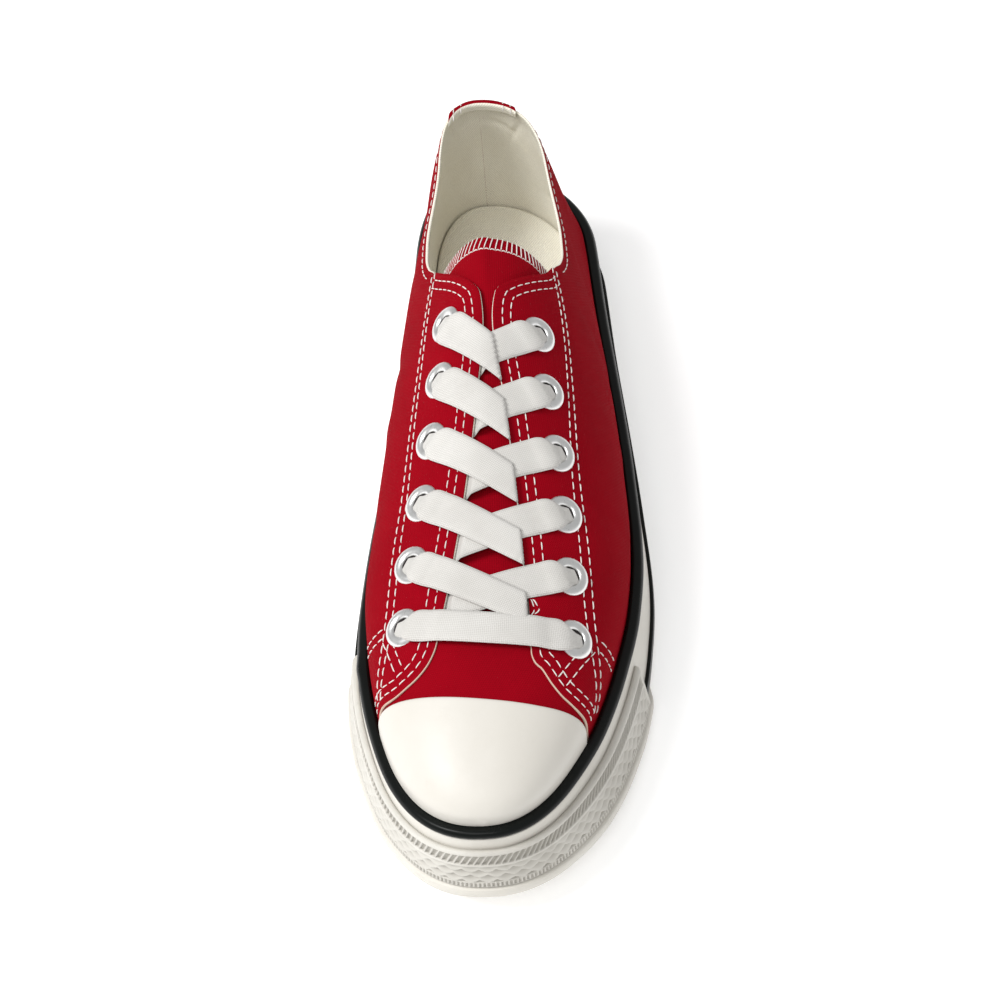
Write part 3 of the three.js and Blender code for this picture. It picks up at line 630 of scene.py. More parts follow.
# Its second colour also darkens the toe strip's recesses as painted shade, with a little dirt.
RIBBED = rubber_material("ribbed_rubber", (0.63, 0.61, 0.56, 1), (0.27, 0.25, 0.21, 1), 0.55, recess=True)
CAP = rubber_material(
    "cap_rubber", (0.63, 0.605, 0.555, 1), (0.53, 0.5, 0.44, 1), 0.42, scuffs=0.3, shine=0.3
)
BLACK = rubber_material(
    "black_rubber", (0.003, 0.004, 0.0035, 1), (0.008, 0.009, 0.008, 1), 0.3, scuffs=0.1, shine=0.14
)
COTTON = woven_tape_material("lace_cotton", (0.66, 0.645, 0.615, 1), (0.36, 0.34, 0.31, 1))
THREAD = thread_material("white_thread", (0.8, 0.76, 0.72, 1))
# A dark disc across each eyelet's bore: painted shade where the hole is.
BORE_SHADE = rubber_material("bore_painted_shade", (0.01, 0.006, 0.006, 1), (0.02, 0.01, 0.01, 1), 0.8, scuffs=0.0)
METAL = metal_material("eyelet_metal", (0.78, 0.78, 0.77, 1))


# The upper


def respaced(points, shares):
    """Each row of points again, at shares of its length."""
    rows = []
    for line in points:
        way = way_along(line)
        rows.append([np.interp(way[-1] * shares, way, line[:, axis]) for axis in range(3)])
    return np.array(rows).transpose(0, 2, 1)


# A section's fine points: the share of them below the shoulder, and the rest up the arch.
FINE = 220
LEG_SHARE = 0.22
CLIMB = np.linspace(0, 1, FINE)
ON_LEG = CLIMB < LEG_SHARE
UP_ARCH = np.clip((CLIMB - LEG_SHARE) / (1 - LEG_SHARE), 0, 1)
FRONT_FROM, FRONT_TO = 0.78 * LAST_LENGTH, 0.9 * LAST_LENGTH  # the quarters' front edges lie between


def section_points(s, grow, side, bottom, top_angle):
    """Fine points up sections, for s of shape (sections, 1) or (sections, FINE)."""
    s = np.broadcast_to(s, (len(s), FINE))
    grow = np.broadcast_to(grow, s.shape)
    angle = np.asarray(top_angle, float).reshape(-1, 1) * UP_ARCH
    x, z = arch_point(s, grow, side, angle)
    x = np.where(ON_LEG, wall_x(s, grow, side), x)
    z = np.where(ON_LEG, mix(bottom, SHOULDER, CLIMB / LEG_SHARE), z)
    return place(x, s, z)


def edge_angle(s, grow, side):
    """Where the quarter's top edge is, up the arch: at the collar, or at the throat."""
    x_edge = THROAT["outer" if side > 0 else "inner"](s / LAST_LENGTH) * HALF_WIDTH

    def past(angle):
        x, z = arch_point(s, grow, side, angle)
        over_collar = z > COLLAR["height"]((s + heel_lean(s, z)) / LAST_LENGTH) * COLLAR_HEIGHT
        return np.where(s < THROAT_FROM, over_collar, side * (x - x_edge) <= 0)

    return solve_angle(past, np.shape(s))


def front_reach(side, grow_at, angle):
    """How far along the foot the quarter reaches, at each fine point of a section."""
    name = "outer" if side > 0 else "inner"
    first = THROAT_END / LAST_LENGTH - 0.004
    rows = [[float(THROAT[name](first)), first]] + QUARTER_FRONT[side]
    edge = curve_through([abs(x) * HALF_WIDTH for x, _ in rows], [at * LAST_LENGTH for _, at in rows])

    def past(s):
        grow = grow_at(s)
        x = np.where(ON_LEG, wall_x(s, grow, side), arch_point(s, grow, side, angle * UP_ARCH)[0])
        return s > edge(np.abs(x))

    return bisect(past, np.full(FINE, FRONT_FROM), np.full(FINE, FRONT_TO))


def quarter_sheet(side, grow_at, columns, shares):
    """One side of the upper as a grid, in columns from the heel's seam to its front edge. Each
    goes up to the collar or the throat. grow_at(s) is how far outside the last it lies."""
    corner_s = np.array([THROAT_END])
    corner_angle = float(edge_angle(corner_s, grow_at(corner_s), side)[0])
    front = front_reach(side, grow_at, corner_angle)
    lean = (front[0] - front) / (front[0] - front[-1])
    heel = -float(grow_at(np.array(0.0)))
    t = np.linspace(0, 1, columns)
    spread = mix(t, 0.5 - 0.5 * np.cos(np.pi * t), 0.75)
    low_s, top_s = mix(heel, front[0], spread), mix(heel, front[-1], spread)
    top_angle = edge_angle(top_s, grow_at(top_s), side)
    s = low_s[:, None] + (top_s - low_s)[:, None] * lean
    return respaced(section_points(s, grow_at(s), side, FOXING_FROM, top_angle), shares)


# Soft troughs (depth below 0) and ridges of the canvas: where they lie along the foot and up
# the side, their length and width, their tilt in degrees and their depth, in millimetres.
CREASES = {
    INNER: [
        {"s": 96, "z": 44, "length": 26, "width": 7, "tilt": 62, "depth": -0.5},
        {"s": 118, "z": 40, "length": 24, "width": 8, "tilt": 75, "depth": 0.35},
        {"s": 60, "z": 48, "length": 22, "width": 8, "tilt": 20, "depth": -0.4},
        {"s": 150, "z": 40, "length": 20, "width": 7, "tilt": 100, "depth": -0.4},
        {"s": 32, "z": 42, "length": 18, "width": 6, "tilt": 40, "depth": 0.3},
    ],
    OUTER: [
        {"s": 92, "z": 46, "length": 28, "width": 8, "tilt": 115, "depth": -0.5},
        {"s": 124, "z": 42, "length": 24, "width": 8, "tilt": 95, "depth": 0.35},
        {"s": 58, "z": 46, "length": 22, "width": 8, "tilt": 160, "depth": -0.4},
        {"s": 160, "z": 42, "length": 22, "width": 7, "tilt": 80, "depth": -0.35},
        {"s": 30, "z": 44, "length": 18, "width": 6, "tilt": 140, "depth": 0.3},
    ],
}
LINING_CREASES = {
    INNER: [
        {"s": 6, "z": 59, "length": 7, "width": 1.6, "tilt": 80, "depth": 0.8},
        {"s": 16, "z": 52, "length": 12, "width": 3, "tilt": 70, "depth": -0.6},
        {"s": 40, "z": 40, "length": 18, "width": 5, "tilt": 55, "depth": 0.5},
    ],
    OUTER: [
        {"s": 6, "z": 58, "length": 7, "width": 1.6, "tilt": 100, "depth": 0.8},
        {"s": 18, "z": 50, "length": 12, "width": 3, "tilt": 110, "depth": -0.6},
        {"s": 44, "z": 40, "length": 18, "width": 5, "tilt": 125, "depth": 0.5},
    ],
}


def outward(points):
    """Unit normals of a grid, turned away from the middle of the foot."""
    normal = grid_normals(points)
    away = np.stack([points[..., 0], np.minimum(points[..., 1] - HEEL_ROUND, 0), points[..., 2] - 10], -1)
    return normal * np.sign(np.sum(normal * away, -1, keepdims=True))


def creased(points, creases):
    """Moves a grid outwards by the listed creases."""
    shift = np.zeros(points.shape[:2])
    for one in creases:
        tilt = math.radians(one["tilt"])
        ds = points[..., 1] - one["s"]
        dz = points[..., 2] - one["z"]
        lengthwise = (ds * math.cos(tilt) + dz * math.sin(tilt)) / (one["length"] / 2)
        across = (-ds * math.sin(tilt) + dz * math.cos(tilt)) / (one["width"] / 2)
        shift += one["depth"] * hump(across) * hump(lengthwise)
    return points + outward(points) * shift[..., None]


# The lining's thickest part: a band folded and sewn under the heel's top edge, with a tuck
# at each end and a seam down the middle.
WELT = {"top": 66.0, "ridges": 4, "pitch": 1.7, "height": 0.4, "half_width": 10.5}
TUCK = {"at": 58.0, "half_height": 5.5, "half_width": 0.9, "slant": 0.25, "height": 0.8}
HEEL_SEAM = {"top": 60.0, "half_width": 1.3, "height": 0.3, "line": 0.45}
COLLAR_THIN = 0.45  # the share of the wall that the binding at the collar takes off inside


def heel_details(points):
    """Ridges, tucks and a seam on the lining at the back of the heel."""
    x, s, z = (points[..., i] for i in range(3))
    aside = np.abs(x - STRIP_MIDDLE)
    at_back = ease((14 - s) / 6)
    over = ease((WELT["half_width"] + 1.0 - aside) / 2.0)
    below = (WELT["top"] - z + 0.4 * np.sin((x - STRIP_MIDDLE) * 0.9)) / WELT["pitch"]
    ridges = np.abs(np.sin(np.pi * below)) * ((below > 0) & (below < WELT["ridges"]))
    under = below - WELT["ridges"]
    fold = ease(under / 0.4) * hump(under / 2.2)
    tuck_x = WELT["half_width"] + TUCK["slant"] * (z - 60)
    tuck = hump((aside - tuck_x) / TUCK["half_width"]) * hump((z - TUCK["at"]) / TUCK["half_height"])
    seam = hump((aside - HEEL_SEAM["half_width"]) / HEEL_SEAM["line"]) * ease((HEEL_SEAM["top"] - z) / 3)
    inwards = WELT["height"] * over * (ridges + 0.9 * fold)
    inwards -= TUCK["height"] * tuck + HEEL_SEAM["height"] * seam
    return points - outward(points) * (inwards * at_back)[..., None]


def rim_strip(outer, inner, beyond, turns=9, bulge=0.8):
    """A rounded edge from one line over to another. beyond points away from the sheet."""
    middle, across = (outer + inner) / 2, (outer - inner) / 2
    radius = np.linalg.norm(across, axis=-1, keepdims=True)
    tangent, out = unit(np.gradient(middle, axis=0)), unit(across)
    up = beyond - tangent * np.sum(beyond * tangent, -1, keepdims=True)
    up = unit(up - out * np.sum(up * out, -1, keepdims=True))
    angles = np.linspace(0, math.pi, turns)
    return np.stack([middle + across * math.cos(a) + up * radius * bulge * math.sin(a) for a in angles], 1)


def sheet_part(points, kind):
    return part_of(points, grid_faces(*points.shape[:2]), grid_uv(points), kind)


def border(sheet):
    """A quarter's top edge and then its front edge, as one line."""
    return np.concatenate([sheet[:, -1], sheet[-1, -2::-1]])


CANVAS_KIND, LINING_KIND, EDGE_KIND = 0, 1, 2
COLUMNS = 241
UP_QUARTER = np.linspace(0, 1, 66) ** 0.92
VAMP_END = 0.96 * LAST_LENGTH


def wall_outside(s):
    return WALL + 0 * s


def wall_inside(s):
    """The lining lies on the last, and rises over the vamp towards the front."""
    return (WALL - FACING_STEP) * ease((s - 0.75 * LAST_LENGTH) / 14)


def make_quarter(side):
    """One side of the upper: canvas outside, a rounded edge, and the lining."""
    outside = creased(quarter_sheet(side, wall_outside, COLUMNS, UP_QUARTER), CREASES[side])
    inside = creased(quarter_sheet(side, wall_inside, COLUMNS, UP_QUARTER), LINING_CREASES[side])
    inside = heel_details(inside)
    near_edge = ease((np.linspace(0, 1, inside.shape[1]) - 0.72) / 0.2)[None, :]
    at_collar = ease((THROAT_FROM + 14 - inside[..., 1]) / 12)
    inside = mix(inside, outside, COLLAR_THIN * (near_edge * at_collar)[..., None])
    beyond = np.concatenate([outside[:, -1] - outside[:, -3], (outside[-1] - outside[-3])[-2::-1]])
    rim = rim_strip(border(outside), border(inside), beyond)
    parts = [sheet_part(outside, CANVAS_KIND), sheet_part(inside, LINING_KIND), sheet_part(rim, LINING_KIND)]
    column = np.tile(np.arange(rim.shape[1] - 1), rim.shape[0] - 1)
    row = np.repeat(np.arange(rim.shape[0] - 1), rim.shape[1] - 1)
    parts[2]["kinds"] = np.where(row > COLUMNS, EDGE_KIND, np.where(column < 2, CANVAS_KIND, LINING_KIND))
    return parts, outside


def make_vamp():
    """The front of the upper, under the quarters' front edges and the toe cap."""
    s = np.linspace(THROAT_END - 1, VAMP_END, 70)[:, None]
    full = np.full(len(s), math.pi / 2)
    parts = []
    for grow, kind, count in ((WALL - FACING_STEP, CANVAS_KIND, 50), (0.05, LINING_KIND, 25)):
        shares = np.linspace(0, 1, count)
        outer, inner = (
            respaced(section_points(s, grow, side, FOXING_FROM, full), shares) for side in (OUTER, INNER)
        )
        parts.append(sheet_part(np.concatenate([outer, inner[:, -2::-1]], 1), kind))
    rear = [part["points"][0] for part in parts]
    rear[1] = respaced(rear[1][None], np.linspace(0, 1, len(rear[0])))[0]
    edge = rim_strip(rear[0], rear[1], parts[0]["points"][0] - parts[0]["points"][2], 5)
    return parts + [sheet_part(edge, CANVAS_KIND)]


def joined(parts):
    """Several grids as one set of points, faces, kinds and texture coordinates."""
    starts = np.cumsum([0] + [part["points"].size // 3 for part in parts])
    points = [part["points"].reshape(-1, 3) for part in parts]
    faces = [part["faces"] + start for part, start in zip(parts, starts)]
    kinds = [part["kinds"] for part in parts]
    uv = [part["uv"].reshape(-1, 2) for part in parts]
    return tuple(np.concatenate(lists) for lists in (points, faces, kinds, uv))


def make_upper():
    outsides, parts = {}, []
    for side in (OUTER, INNER):
        made, outsides[side] = make_quarter(side)
        parts += made
    points, faces, kinds, uv = joined(parts + make_vamp())
    upper = make_mesh("upper_canvas", points, faces, [RED, LINING, RAW_EDGE], kinds, uv)
    finish_piece(upper, "canvas", "upper")
    return outsides


def heel_s(x, z, grow):
    """How far along the foot the grown last's heel is, at x across and height z."""
    x, z, grow = np.broadcast_arrays(x, z, grow)

    def past(s):
        side = np.where(x > ridge_x(s, grow), 1, -1)
        share = share_of(s, grow)
        full = SECTIONS["full"](share)
        up = np.clip((z - SHOULDER) / (crest_z(s, grow) - SHOULDER), 0, 1)
        swell = np.where(side > 0, SECTIONS["swell_out"](share), SECTIONS["swell_in"](share))
        out = (1 - up ** full) ** (1 / full) * (1 + swell * 6.75 * up * (1 - up) ** 2)
        ridge = ridge_x(s, grow)
        return side * (wall_x(s, grow, side) - ridge) * out >= side * (x - ridge)

    return bisect(past, -grow, np.full(x.shape, HEEL_ROUND))


def strip_profile(outer, inner, count=12):
    """The heel strip from its foot outside, over the collar's edge and down inside."""
    top = COLLAR_HEIGHT
    turn = np.linspace(0, math.pi, count)
    middle, reach = (outer + inner) / 2, (outer - inner) / 2
    over = np.stack([middle + reach * np.cos(turn), top + (0.5 + reach * 0.55) * np.sin(turn)], -1)
    outside = np.stack([np.full(40, outer), np.linspace(foxing_top(0.0) - 0.5, top, 40)], -1)
    inside = np.stack([np.full(5, inner), np.linspace(top, top - STRIP_TURN, 5)], -1)
    return np.concatenate([outside[:-1], over, inside[1:]])


def strip_points(x, profile):
    """Points of a line of (grow, z) at x across the heel, for each x."""
    x, grow, z = np.asarray(x)[:, None], profile[None, :, 0], profile[None, :, 1]
    return place(x, heel_s(x, z, grow), z)


STRIP_CANVAS_TO = 1.0  # how far outside the last its canvas ends; the lining goes on inside
STRIP_TURNED_IN = 0.3  # how thick that lining lies over the collar's inside


def make_heel_strip():
    """The strip of canvas over the back seam, folded over the collar's edge."""
    half = STRIP_WIDTH / 2
    skin = CLEAR / 2 + STRIP_WALL
    outer = strip_profile(WALL + skin, -STRIP_TURNED_IN)
    under = strip_profile(WALL + 0.05, -0.05)
    rings = []
    for x in STRIP_MIDDLE + half * np.sin(np.linspace(-math.pi / 2, math.pi / 2, 45)):
        thin = math.sqrt(max(1 - (abs(x - STRIP_MIDDLE) / half) ** 24, 0))
        sheet = mix(under, outer, 0.25 + 0.75 * thin)
        rings.append(np.concatenate([strip_points([x], sheet)[0], strip_points([x], under)[0][::-1]]))
    rings = np.array(rings)
    grow = np.concatenate([outer[:, 0], under[::-1, 0]])
    kinds = np.tile((grow < STRIP_CANVAS_TO).astype(int), len(rings) - 1)
    uv = grid_uv(rings)
    ring_piece(
        "heel_strip_canvas", rings, [RED, LINING], "canvas", "heel_strip", face_materials=kinds, uv=uv
    )


# The rubber


def wall_points(u, side, grow, z):
    """Points on the side wall: at shares of the length, grown outside the last, at height z."""
    s = station(u, grow)
    return place(wall_x(s, grow, side), s, z)


def profile_points(u, side, profile):
    """A profile of (grow, z) as points at a share of the length."""
    grow, z = np.array(profile, float).T
    return wall_points(u, side, grow, z)


def round_loop(u_shares, profile):
    """A strip all round the foot: for each share of the length on the outer side, and back on
    the inner side, a closed loop of (grow, z) from profile(u, side)."""
    stops = [(u, OUTER) for u in u_shares] + [(u, INNER) for u in u_shares[-2:0:-1]]
    return np.array([profile_points(u, side, profile(u, side)) for u, side in stops])


def even_shares(count):
    """Shares of the length, closer together at the heel and at the toe."""
    t = np.linspace(0, 1, count)
    return mix(t, 0.5 - 0.5 * np.cos(np.pi * t), 0.9)


def flare_of(u, side):
    return np.where(side > 0, SIDE_WALL["flare_out"](u), SIDE_WALL["flare_in"](u)) * FOXING


def wall_top(s):
    return foxing_top(s) - BEAD - CLEAR


def bumper_top(s):
    return wall_top(s) - PLAIN_BAND


def face_grow(u, side, z):
    """How far outside the last the side wall's face is at height z."""
    top = wall_top(u * LAST_LENGTH)
    return FOXING_OUT + flare_of(u, side) * np.clip((top - z) / (top - FOXING_FROM), 0, 1)


def rounded(corners, radius, steps=4):
    """A closed profile with each corner rounded off."""
    corners = np.array(corners, float)
    out = []
    for i, corner in enumerate(corners):
        before = corners[i - 1] - corner
        after = corners[(i + 1) % len(corners)] - corner
        reach = min(radius, 0.45 * np.linalg.norm(before), 0.45 * np.linalg.norm(after))
        a = corner + before / np.linalg.norm(before) * reach
        b = corner + after / np.linalg.norm(after) * reach
        for t in np.linspace(0, 1, steps):
            out.append((1 - t) ** 2 * a + 2 * t * (1 - t) * corner + t * t * b)
    return out


def make_foxing():
    def profile(u, side):
        top = wall_top(u * LAST_LENGTH)
        middle = mix(FOXING_FROM, top, 0.5)
        corners = [
            [FOXING_IN, FOXING_FROM],
            [face_grow(u, side, FOXING_FROM), FOXING_FROM],
            [face_grow(u, side, middle), middle],
            [FOXING_OUT, top],
            [FOXING_IN, top],
        ]
        return rounded(corners, 0.35)

    rings = round_loop(even_shares(241), profile)
    ring_piece("foxing_rubber", rings, [RUBBER], "foxing_rubber", "foxing", wrap_rows=True)


TAPE_JOIN = {"u": 0.757, "length": 0.012, "lift": 0.35}  # where the bead's tape overlaps itself


def make_top_stripe():
    def profile(u, side):
        top = foxing_top(u * LAST_LENGTH)
        lap = hump((u - TAPE_JOIN["u"]) / TAPE_JOIN["length"]) if side < 0 else 0.0
        out = FOXING_OUT + TAPE_JOIN["lift"] * lap
        corners = [
            [FOXING_IN, top - BEAD],
            [out + 0.1, top - BEAD],
            [out + BEAD_PROUD, top - BEAD * 0.6],
            [out - 0.3, top - BEAD * 0.1],
            [FOXING_IN, top],
        ]
        return rounded(corners, 0.9, 5)

    rings = round_loop(even_shares(241), profile)
    ring_piece("top_stripe_rubber", rings, [BLACK], "stripe_rubber", "top_stripe", wrap_rows=True)


def stops_round_toe(outer_at, inner_at, grow, pitch):
    """Shares and sides at even distances from one side to the other, by way of the toe, and
    those distances. Up to 1 the share is the outer side's, and past 1 it is 2 less the inner's."""
    closer = 1 - (1 - np.linspace(0, 1, 1500)) ** 2
    both = np.concatenate([mix(outer_at, 1, closer), 2 - mix(inner_at, 1, closer)[::-1][1:]])
    u, side = np.minimum(both, 2 - both), np.where(both <= 1, OUTER, INNER)
    s = station(u, grow)
    way = way_along(np.stack([wall_x(s, grow, side), s], -1))
    marks = np.linspace(0, way[-1], int(way[-1] / pitch) + 1)
    at = np.interp(marks, way, both)
    return np.minimum(at, 2 - at), np.where(at <= 1, OUTER, INNER), marks


# The toe strip's relief, from its top edge down: shares of its height.
RIM = 0.925
RIBS = 0.68
SECOND_RIM = 0.615
SCALES = 0.17
RIB_SPACING = 1.8
RIB_SLANT = 3.4
SCALE_WIDTH = 4.6
SCALE_ROW = 2.3
SCALE_ARC = 0.5
TICK_SPACING = 1.15
RELIEF = 0.75


def zone(up, low, high, soft=0.018):
    return ease((up - low) / soft + 0.5) * ease((high - up) / soft + 0.5)


def scale_relief(way, rows):
    """Rows of scales that lap over each other downwards. rows is the height in rows."""
    def edge(row):
        return row + SCALE_ARC * (1 - np.abs(np.cos(np.pi * (way / SCALE_WIDTH + row / 2))))

    row = np.floor(rows)
    row = np.where(edge(row) <= rows, row, row - 1)
    return mix(0.05, 0.95, ease((rows - edge(row)) / (1 + SCALE_ARC)))


def toe_relief(way, length, up, height):
    """How deep the strip's face is sunk: 0 at its face and 1 at its lowest."""
    slant = RIB_SLANT * (1 - way / length) * (up - RIBS) / (RIM - RIBS)
    ribs = 0.5 + 0.5 * np.cos(2 * np.pi * (way + slant) / RIB_SPACING)
    ticks = 0.5 + 0.5 * np.cos(2 * np.pi * way / TICK_SPACING)
    return (
        zone(up, RIBS, RIM) * mix(0.95, 0.05, ease((ribs - 0.55) / 0.4))
        + zone(up, SCALES, SECOND_RIM) * scale_relief(way, (up - SCALES) * height / SCALE_ROW)
        + zone(up, 0.03, SCALES - 0.03) * 0.7 * ease((ticks - 0.2) / 0.6)
    )


LOW_STRIPE_GAP = 0.004  # share of the length between the low stripe and the toe strip's ends
BUMPER_PITCH = 0.24
BUMPER_ROWS = 78


def make_toe_bumper():
    stops = stops_round_toe(BUMPER_END[OUTER], BUMPER_END[INNER], FOXING_OUT + BUMPER, BUMPER_PITCH)
    u, side, way = (column[:, None] for column in stops)
    total = way[-1, 0]
    up = np.linspace(0, 1, BUMPER_ROWS)[None, :]
    top = bumper_top(u * LAST_LENGTH)
    z = mix(FOXING_FROM, top, up)
    face = face_grow(u, side, z)
    ends = np.minimum(way, total - way)
    sunk = toe_relief(way, total, up, top - FOXING_FROM) * ease((ends - 1.5) / 1.5)
    corner = np.maximum(ease(1 - up / 0.04), ease((up - 0.965) / 0.035)) * 0.35 + ease(1 - ends / 0.9) * 0.5
    outside = wall_points(u, side, face + CLEAR + BUMPER - RELIEF * sunk - corner, z)
    inside = wall_points(u, side, face + CLEAR / 2, z)
    loop = np.concatenate([outside, inside[:, ::-18], inside[:, :1]], 1)
    # How deep each point is sunk; the material darkens by it as painted shade in the recesses.
    recess = np.concatenate([sunk, np.zeros((len(u), loop.shape[1] - BUMPER_ROWS))], 1)
    ring_piece(
        "toe_bumper_rubber", loop, [RIBBED], "bumper_rubber", "toe_bumper", values={"recess": recess}
    )


def make_low_stripe():
    top = LOW_STRIPE_FROM + LOW_STRIPE

    def profile(u, side):
        low, high = face_grow(u, side, LOW_STRIPE_FROM) + 0.05, face_grow(u, side, top) + 0.05
        corners = [
            [low, LOW_STRIPE_FROM],
            [low + CLEAR + LOW_STRIPE_WALL, LOW_STRIPE_FROM],
            [high + CLEAR + LOW_STRIPE_WALL, top],
            [high, top],
        ]
        return rounded(corners, 0.3)

    outer, inner = ((BUMPER_END[side] - LOW_STRIPE_GAP) * even_shares(181) for side in (OUTER, INNER))
    stops = [(u, OUTER) for u in outer[::-1]] + [(u, INNER) for u in inner[1:]]
    rings = np.array([profile_points(u, side, profile(u, side)) for u, side in stops])
    ring_piece("low_stripe_rubber", rings, [BLACK], "stripe_rubber", "low_stripe")


def under_bumper(u, side):
    return ease((u - BUMPER_END[side]) / BUMPER_FADE + 1)


def arch_lift(s):
    t = np.clip((s / LAST_LENGTH - ARCH_FROM) / (ARCH_TO - ARCH_FROM), 0, 1)
    return ARCH_LIFT * np.sin(np.pi * t) ** 2


TREAD_INSET = 3.5  # the tread keeps this far inside the sole's edge
TREAD_ENDS = LAST_LENGTH - 20.0 + TREAD_GROOVE
FINE_TREAD = {"pitch": 2.75, "depth": 0.35, "step": 1.6, "width": 6.0}  # zigzags between the grooves
SOLE_EDGE = 0.7  # the tread's outline lies this far inside the sole's


def tread_depth(x, along, inset):
    """How far the tread is sunk: cross grooves and fine zigzags, and hardly any in the arch."""
    phase = (along - TREAD_FROM + TREAD_GROOVE / 2) % TREAD_PITCH
    groove = ease(phase / 0.5) * ease((TREAD_GROOVE - phase) / 0.5)
    width = FINE_TREAD["width"]
    zigzag = along + FINE_TREAD["step"] * np.abs(x % width - width / 2)
    fine = FINE_TREAD["depth"] * ease((0.2 + 0.5 * np.cos(2 * np.pi * zigzag / FINE_TREAD["pitch"])) / 0.4)
    plain = (along > (ARCH_FROM - 0.005) * LAST_LENGTH) & (along < (ARCH_TO + 0.005) * LAST_LENGTH)
    treaded = (along > TREAD_FROM - TREAD_GROOVE) & (along < TREAD_ENDS) & ~plain
    depth = np.where(treaded, np.maximum(TREAD_DEPTH * groove, fine), 0.25 * fine)
    return depth * ease((inset - TREAD_INSET) / 1.2)


def sole_side(u, side):
    """The sole's edge and the side of its filler on one side, from the tread up."""
    edge = FOXING_OUT + flare_of(u, side) + OUTSOLE_LIP + under_bumper(u, side) * (BUMPER + CLEAR)
    grow = np.array([edge - SOLE_EDGE, edge - 0.25, edge, edge, edge - 0.35, -CLEAR, -CLEAR])
    lift = arch_lift(station(u, grow[:3]))
    z = np.concatenate([lift + [0.0, 0.25, 0.8], [OUTSOLE - 0.4, OUTSOLE, OUTSOLE, FILLER_TOP]])
    return wall_points(u, side, grow, z)


def make_outsole():
    """The sole's edge and filler, and its tread with cross grooves."""
    across = np.linspace(0, 1, 61)[1:-1]
    rings = []
    for u in even_shares(321):
        outer, inner = sole_side(u, OUTER), sole_side(u, INNER)
        x, along = (mix(inner[0, axis], outer[0, axis], across) for axis in (0, 1))
        inset = np.minimum(x - inner[0, 0], outer[0, 0] - x)
        z = arch_lift(along) + toe_rise(along) + tread_depth(x, along, inset)
        rings.append(np.concatenate([outer, inner[::-1], np.stack([x, along, z], -1)]))
    ring_piece("outsole_rubber", np.array(rings), [RUBBER], "sole_rubber", "outsole")


def make_insole():
    """The sock, a little hollow along its middle."""
    low, high = FILLER_TOP + CLEAR, INSOLE_TOP
    profile = [[-CLEAR, low], [-CLEAR, high - 1.0], [-CLEAR - 0.4, high - 0.3], [-CLEAR - 1.2, high]]
    t = np.linspace(0, 1, 26)[1:-1, None]
    rings = []
    for u in even_shares(161):
        outer, inner = (profile_points(u, side, profile) for side in (OUTER, INNER))
        top = mix(outer[-1], inner[-1], t)
        top[:, 2] -= 0.35 * np.sin(np.pi * t[:, 0]) ** 0.5
        rings.append(np.concatenate([outer, top, inner[::-1]]))
    rings = np.array(rings)
    ring_piece("insole_cloth", rings, [LINING], "insole_fabric", "insole", uv=rings[..., :2])


CAP_EDGE = {"bevel": 0.55, "round": 0.18, "run": 0.7}  # of the cap's rear edge, from below to its top


def cap_column(grow, rear_shift, side, angle, leg):
    """Points from the cap's rear edge to the toe, at an angle up the arch, or, where leg isn't
    None, that share of the way up the side below it."""
    s = np.array(CAP_REAR - 4.0)
    for _ in range(12):
        x = wall_x(s, grow, side) if leg is not None else arch_point(s, grow, side, angle)[0]
        s = CAP_REAR - CAP_BOW * np.abs(x / HALF_WIDTH - CAP_MIDDLE) ** CAP_CURVE + rear_shift
    t = np.linspace(0, 1, 70)
    along = mix(s, LAST_LENGTH + grow, mix(t, np.sin(np.pi / 2 * t), 0.9))
    x, z = arch_point(along, grow, side, angle)
    if leg is not None:
        x, z = wall_x(along, grow, side), mix(foxing_top(along) + 0.05, SHOULDER, leg)
    return place(x, along, z)


def make_toe_cap():
    legs = np.linspace(0, 1, 5)[:-1]
    angles = np.linspace(0, math.pi / 2, 46)
    columns = [(OUTER, 0.0, leg) for leg in legs] + [(OUTER, angle, None) for angle in angles]
    columns += [(INNER, angle, None) for angle in angles[-2::-1]] + [(INNER, 0.0, leg) for leg in legs[::-1]]

    def layer(grow, rear_shift):
        return np.array([cap_column(grow, rear_shift, *column) for column in columns])

    under = WALL - FACING_STEP + CLEAR
    out = under + CAP_WALL
    inside = layer(under, 0.0)
    edges = [
        inside[:, :1],
        layer(out - CAP_EDGE["bevel"], 0.0)[:, :1],
        layer(out - CAP_EDGE["round"], CAP_EDGE["round"])[:, :1],
    ]
    loop = np.concatenate(edges + [layer(out, CAP_EDGE["run"]), inside[:, :0:-1]], 1)
    ring_piece("toe_cap_rubber", loop, [CAP], "cap_rubber", "toe_cap")


# Tongue, laces and eyelets


TONGUE_ROUND = {"lift": 1.5, "edge": 4.5, "from": 106.0, "over": 18.0}


def tongue_lift(x, s, t):
    """How much the tongue's free end stands over the last's ridge line at its sides, so that
    it is round across. It fades out before the facings."""
    throat = [THROAT[name](s / LAST_LENGTH) * HALF_WIDTH for name in ("inner", "outer")]
    clear = np.minimum(x - throat[0], throat[1] - x)
    free = ease(clear / TONGUE_ROUND["edge"]) * ease((TONGUE_ROUND["from"] - s) / TONGUE_ROUND["over"])
    return TONGUE_ROUND["lift"] * np.sin(np.pi * np.abs(t) ** 1.25) * free


TONGUE_FROM, TONGUE_TO = 0.33, 0.84
TONGUE_FOLD = [[0.25, -0.35], [0.5, -0.5], [0.75, -0.35]]  # its top edge: shares down, and how far out


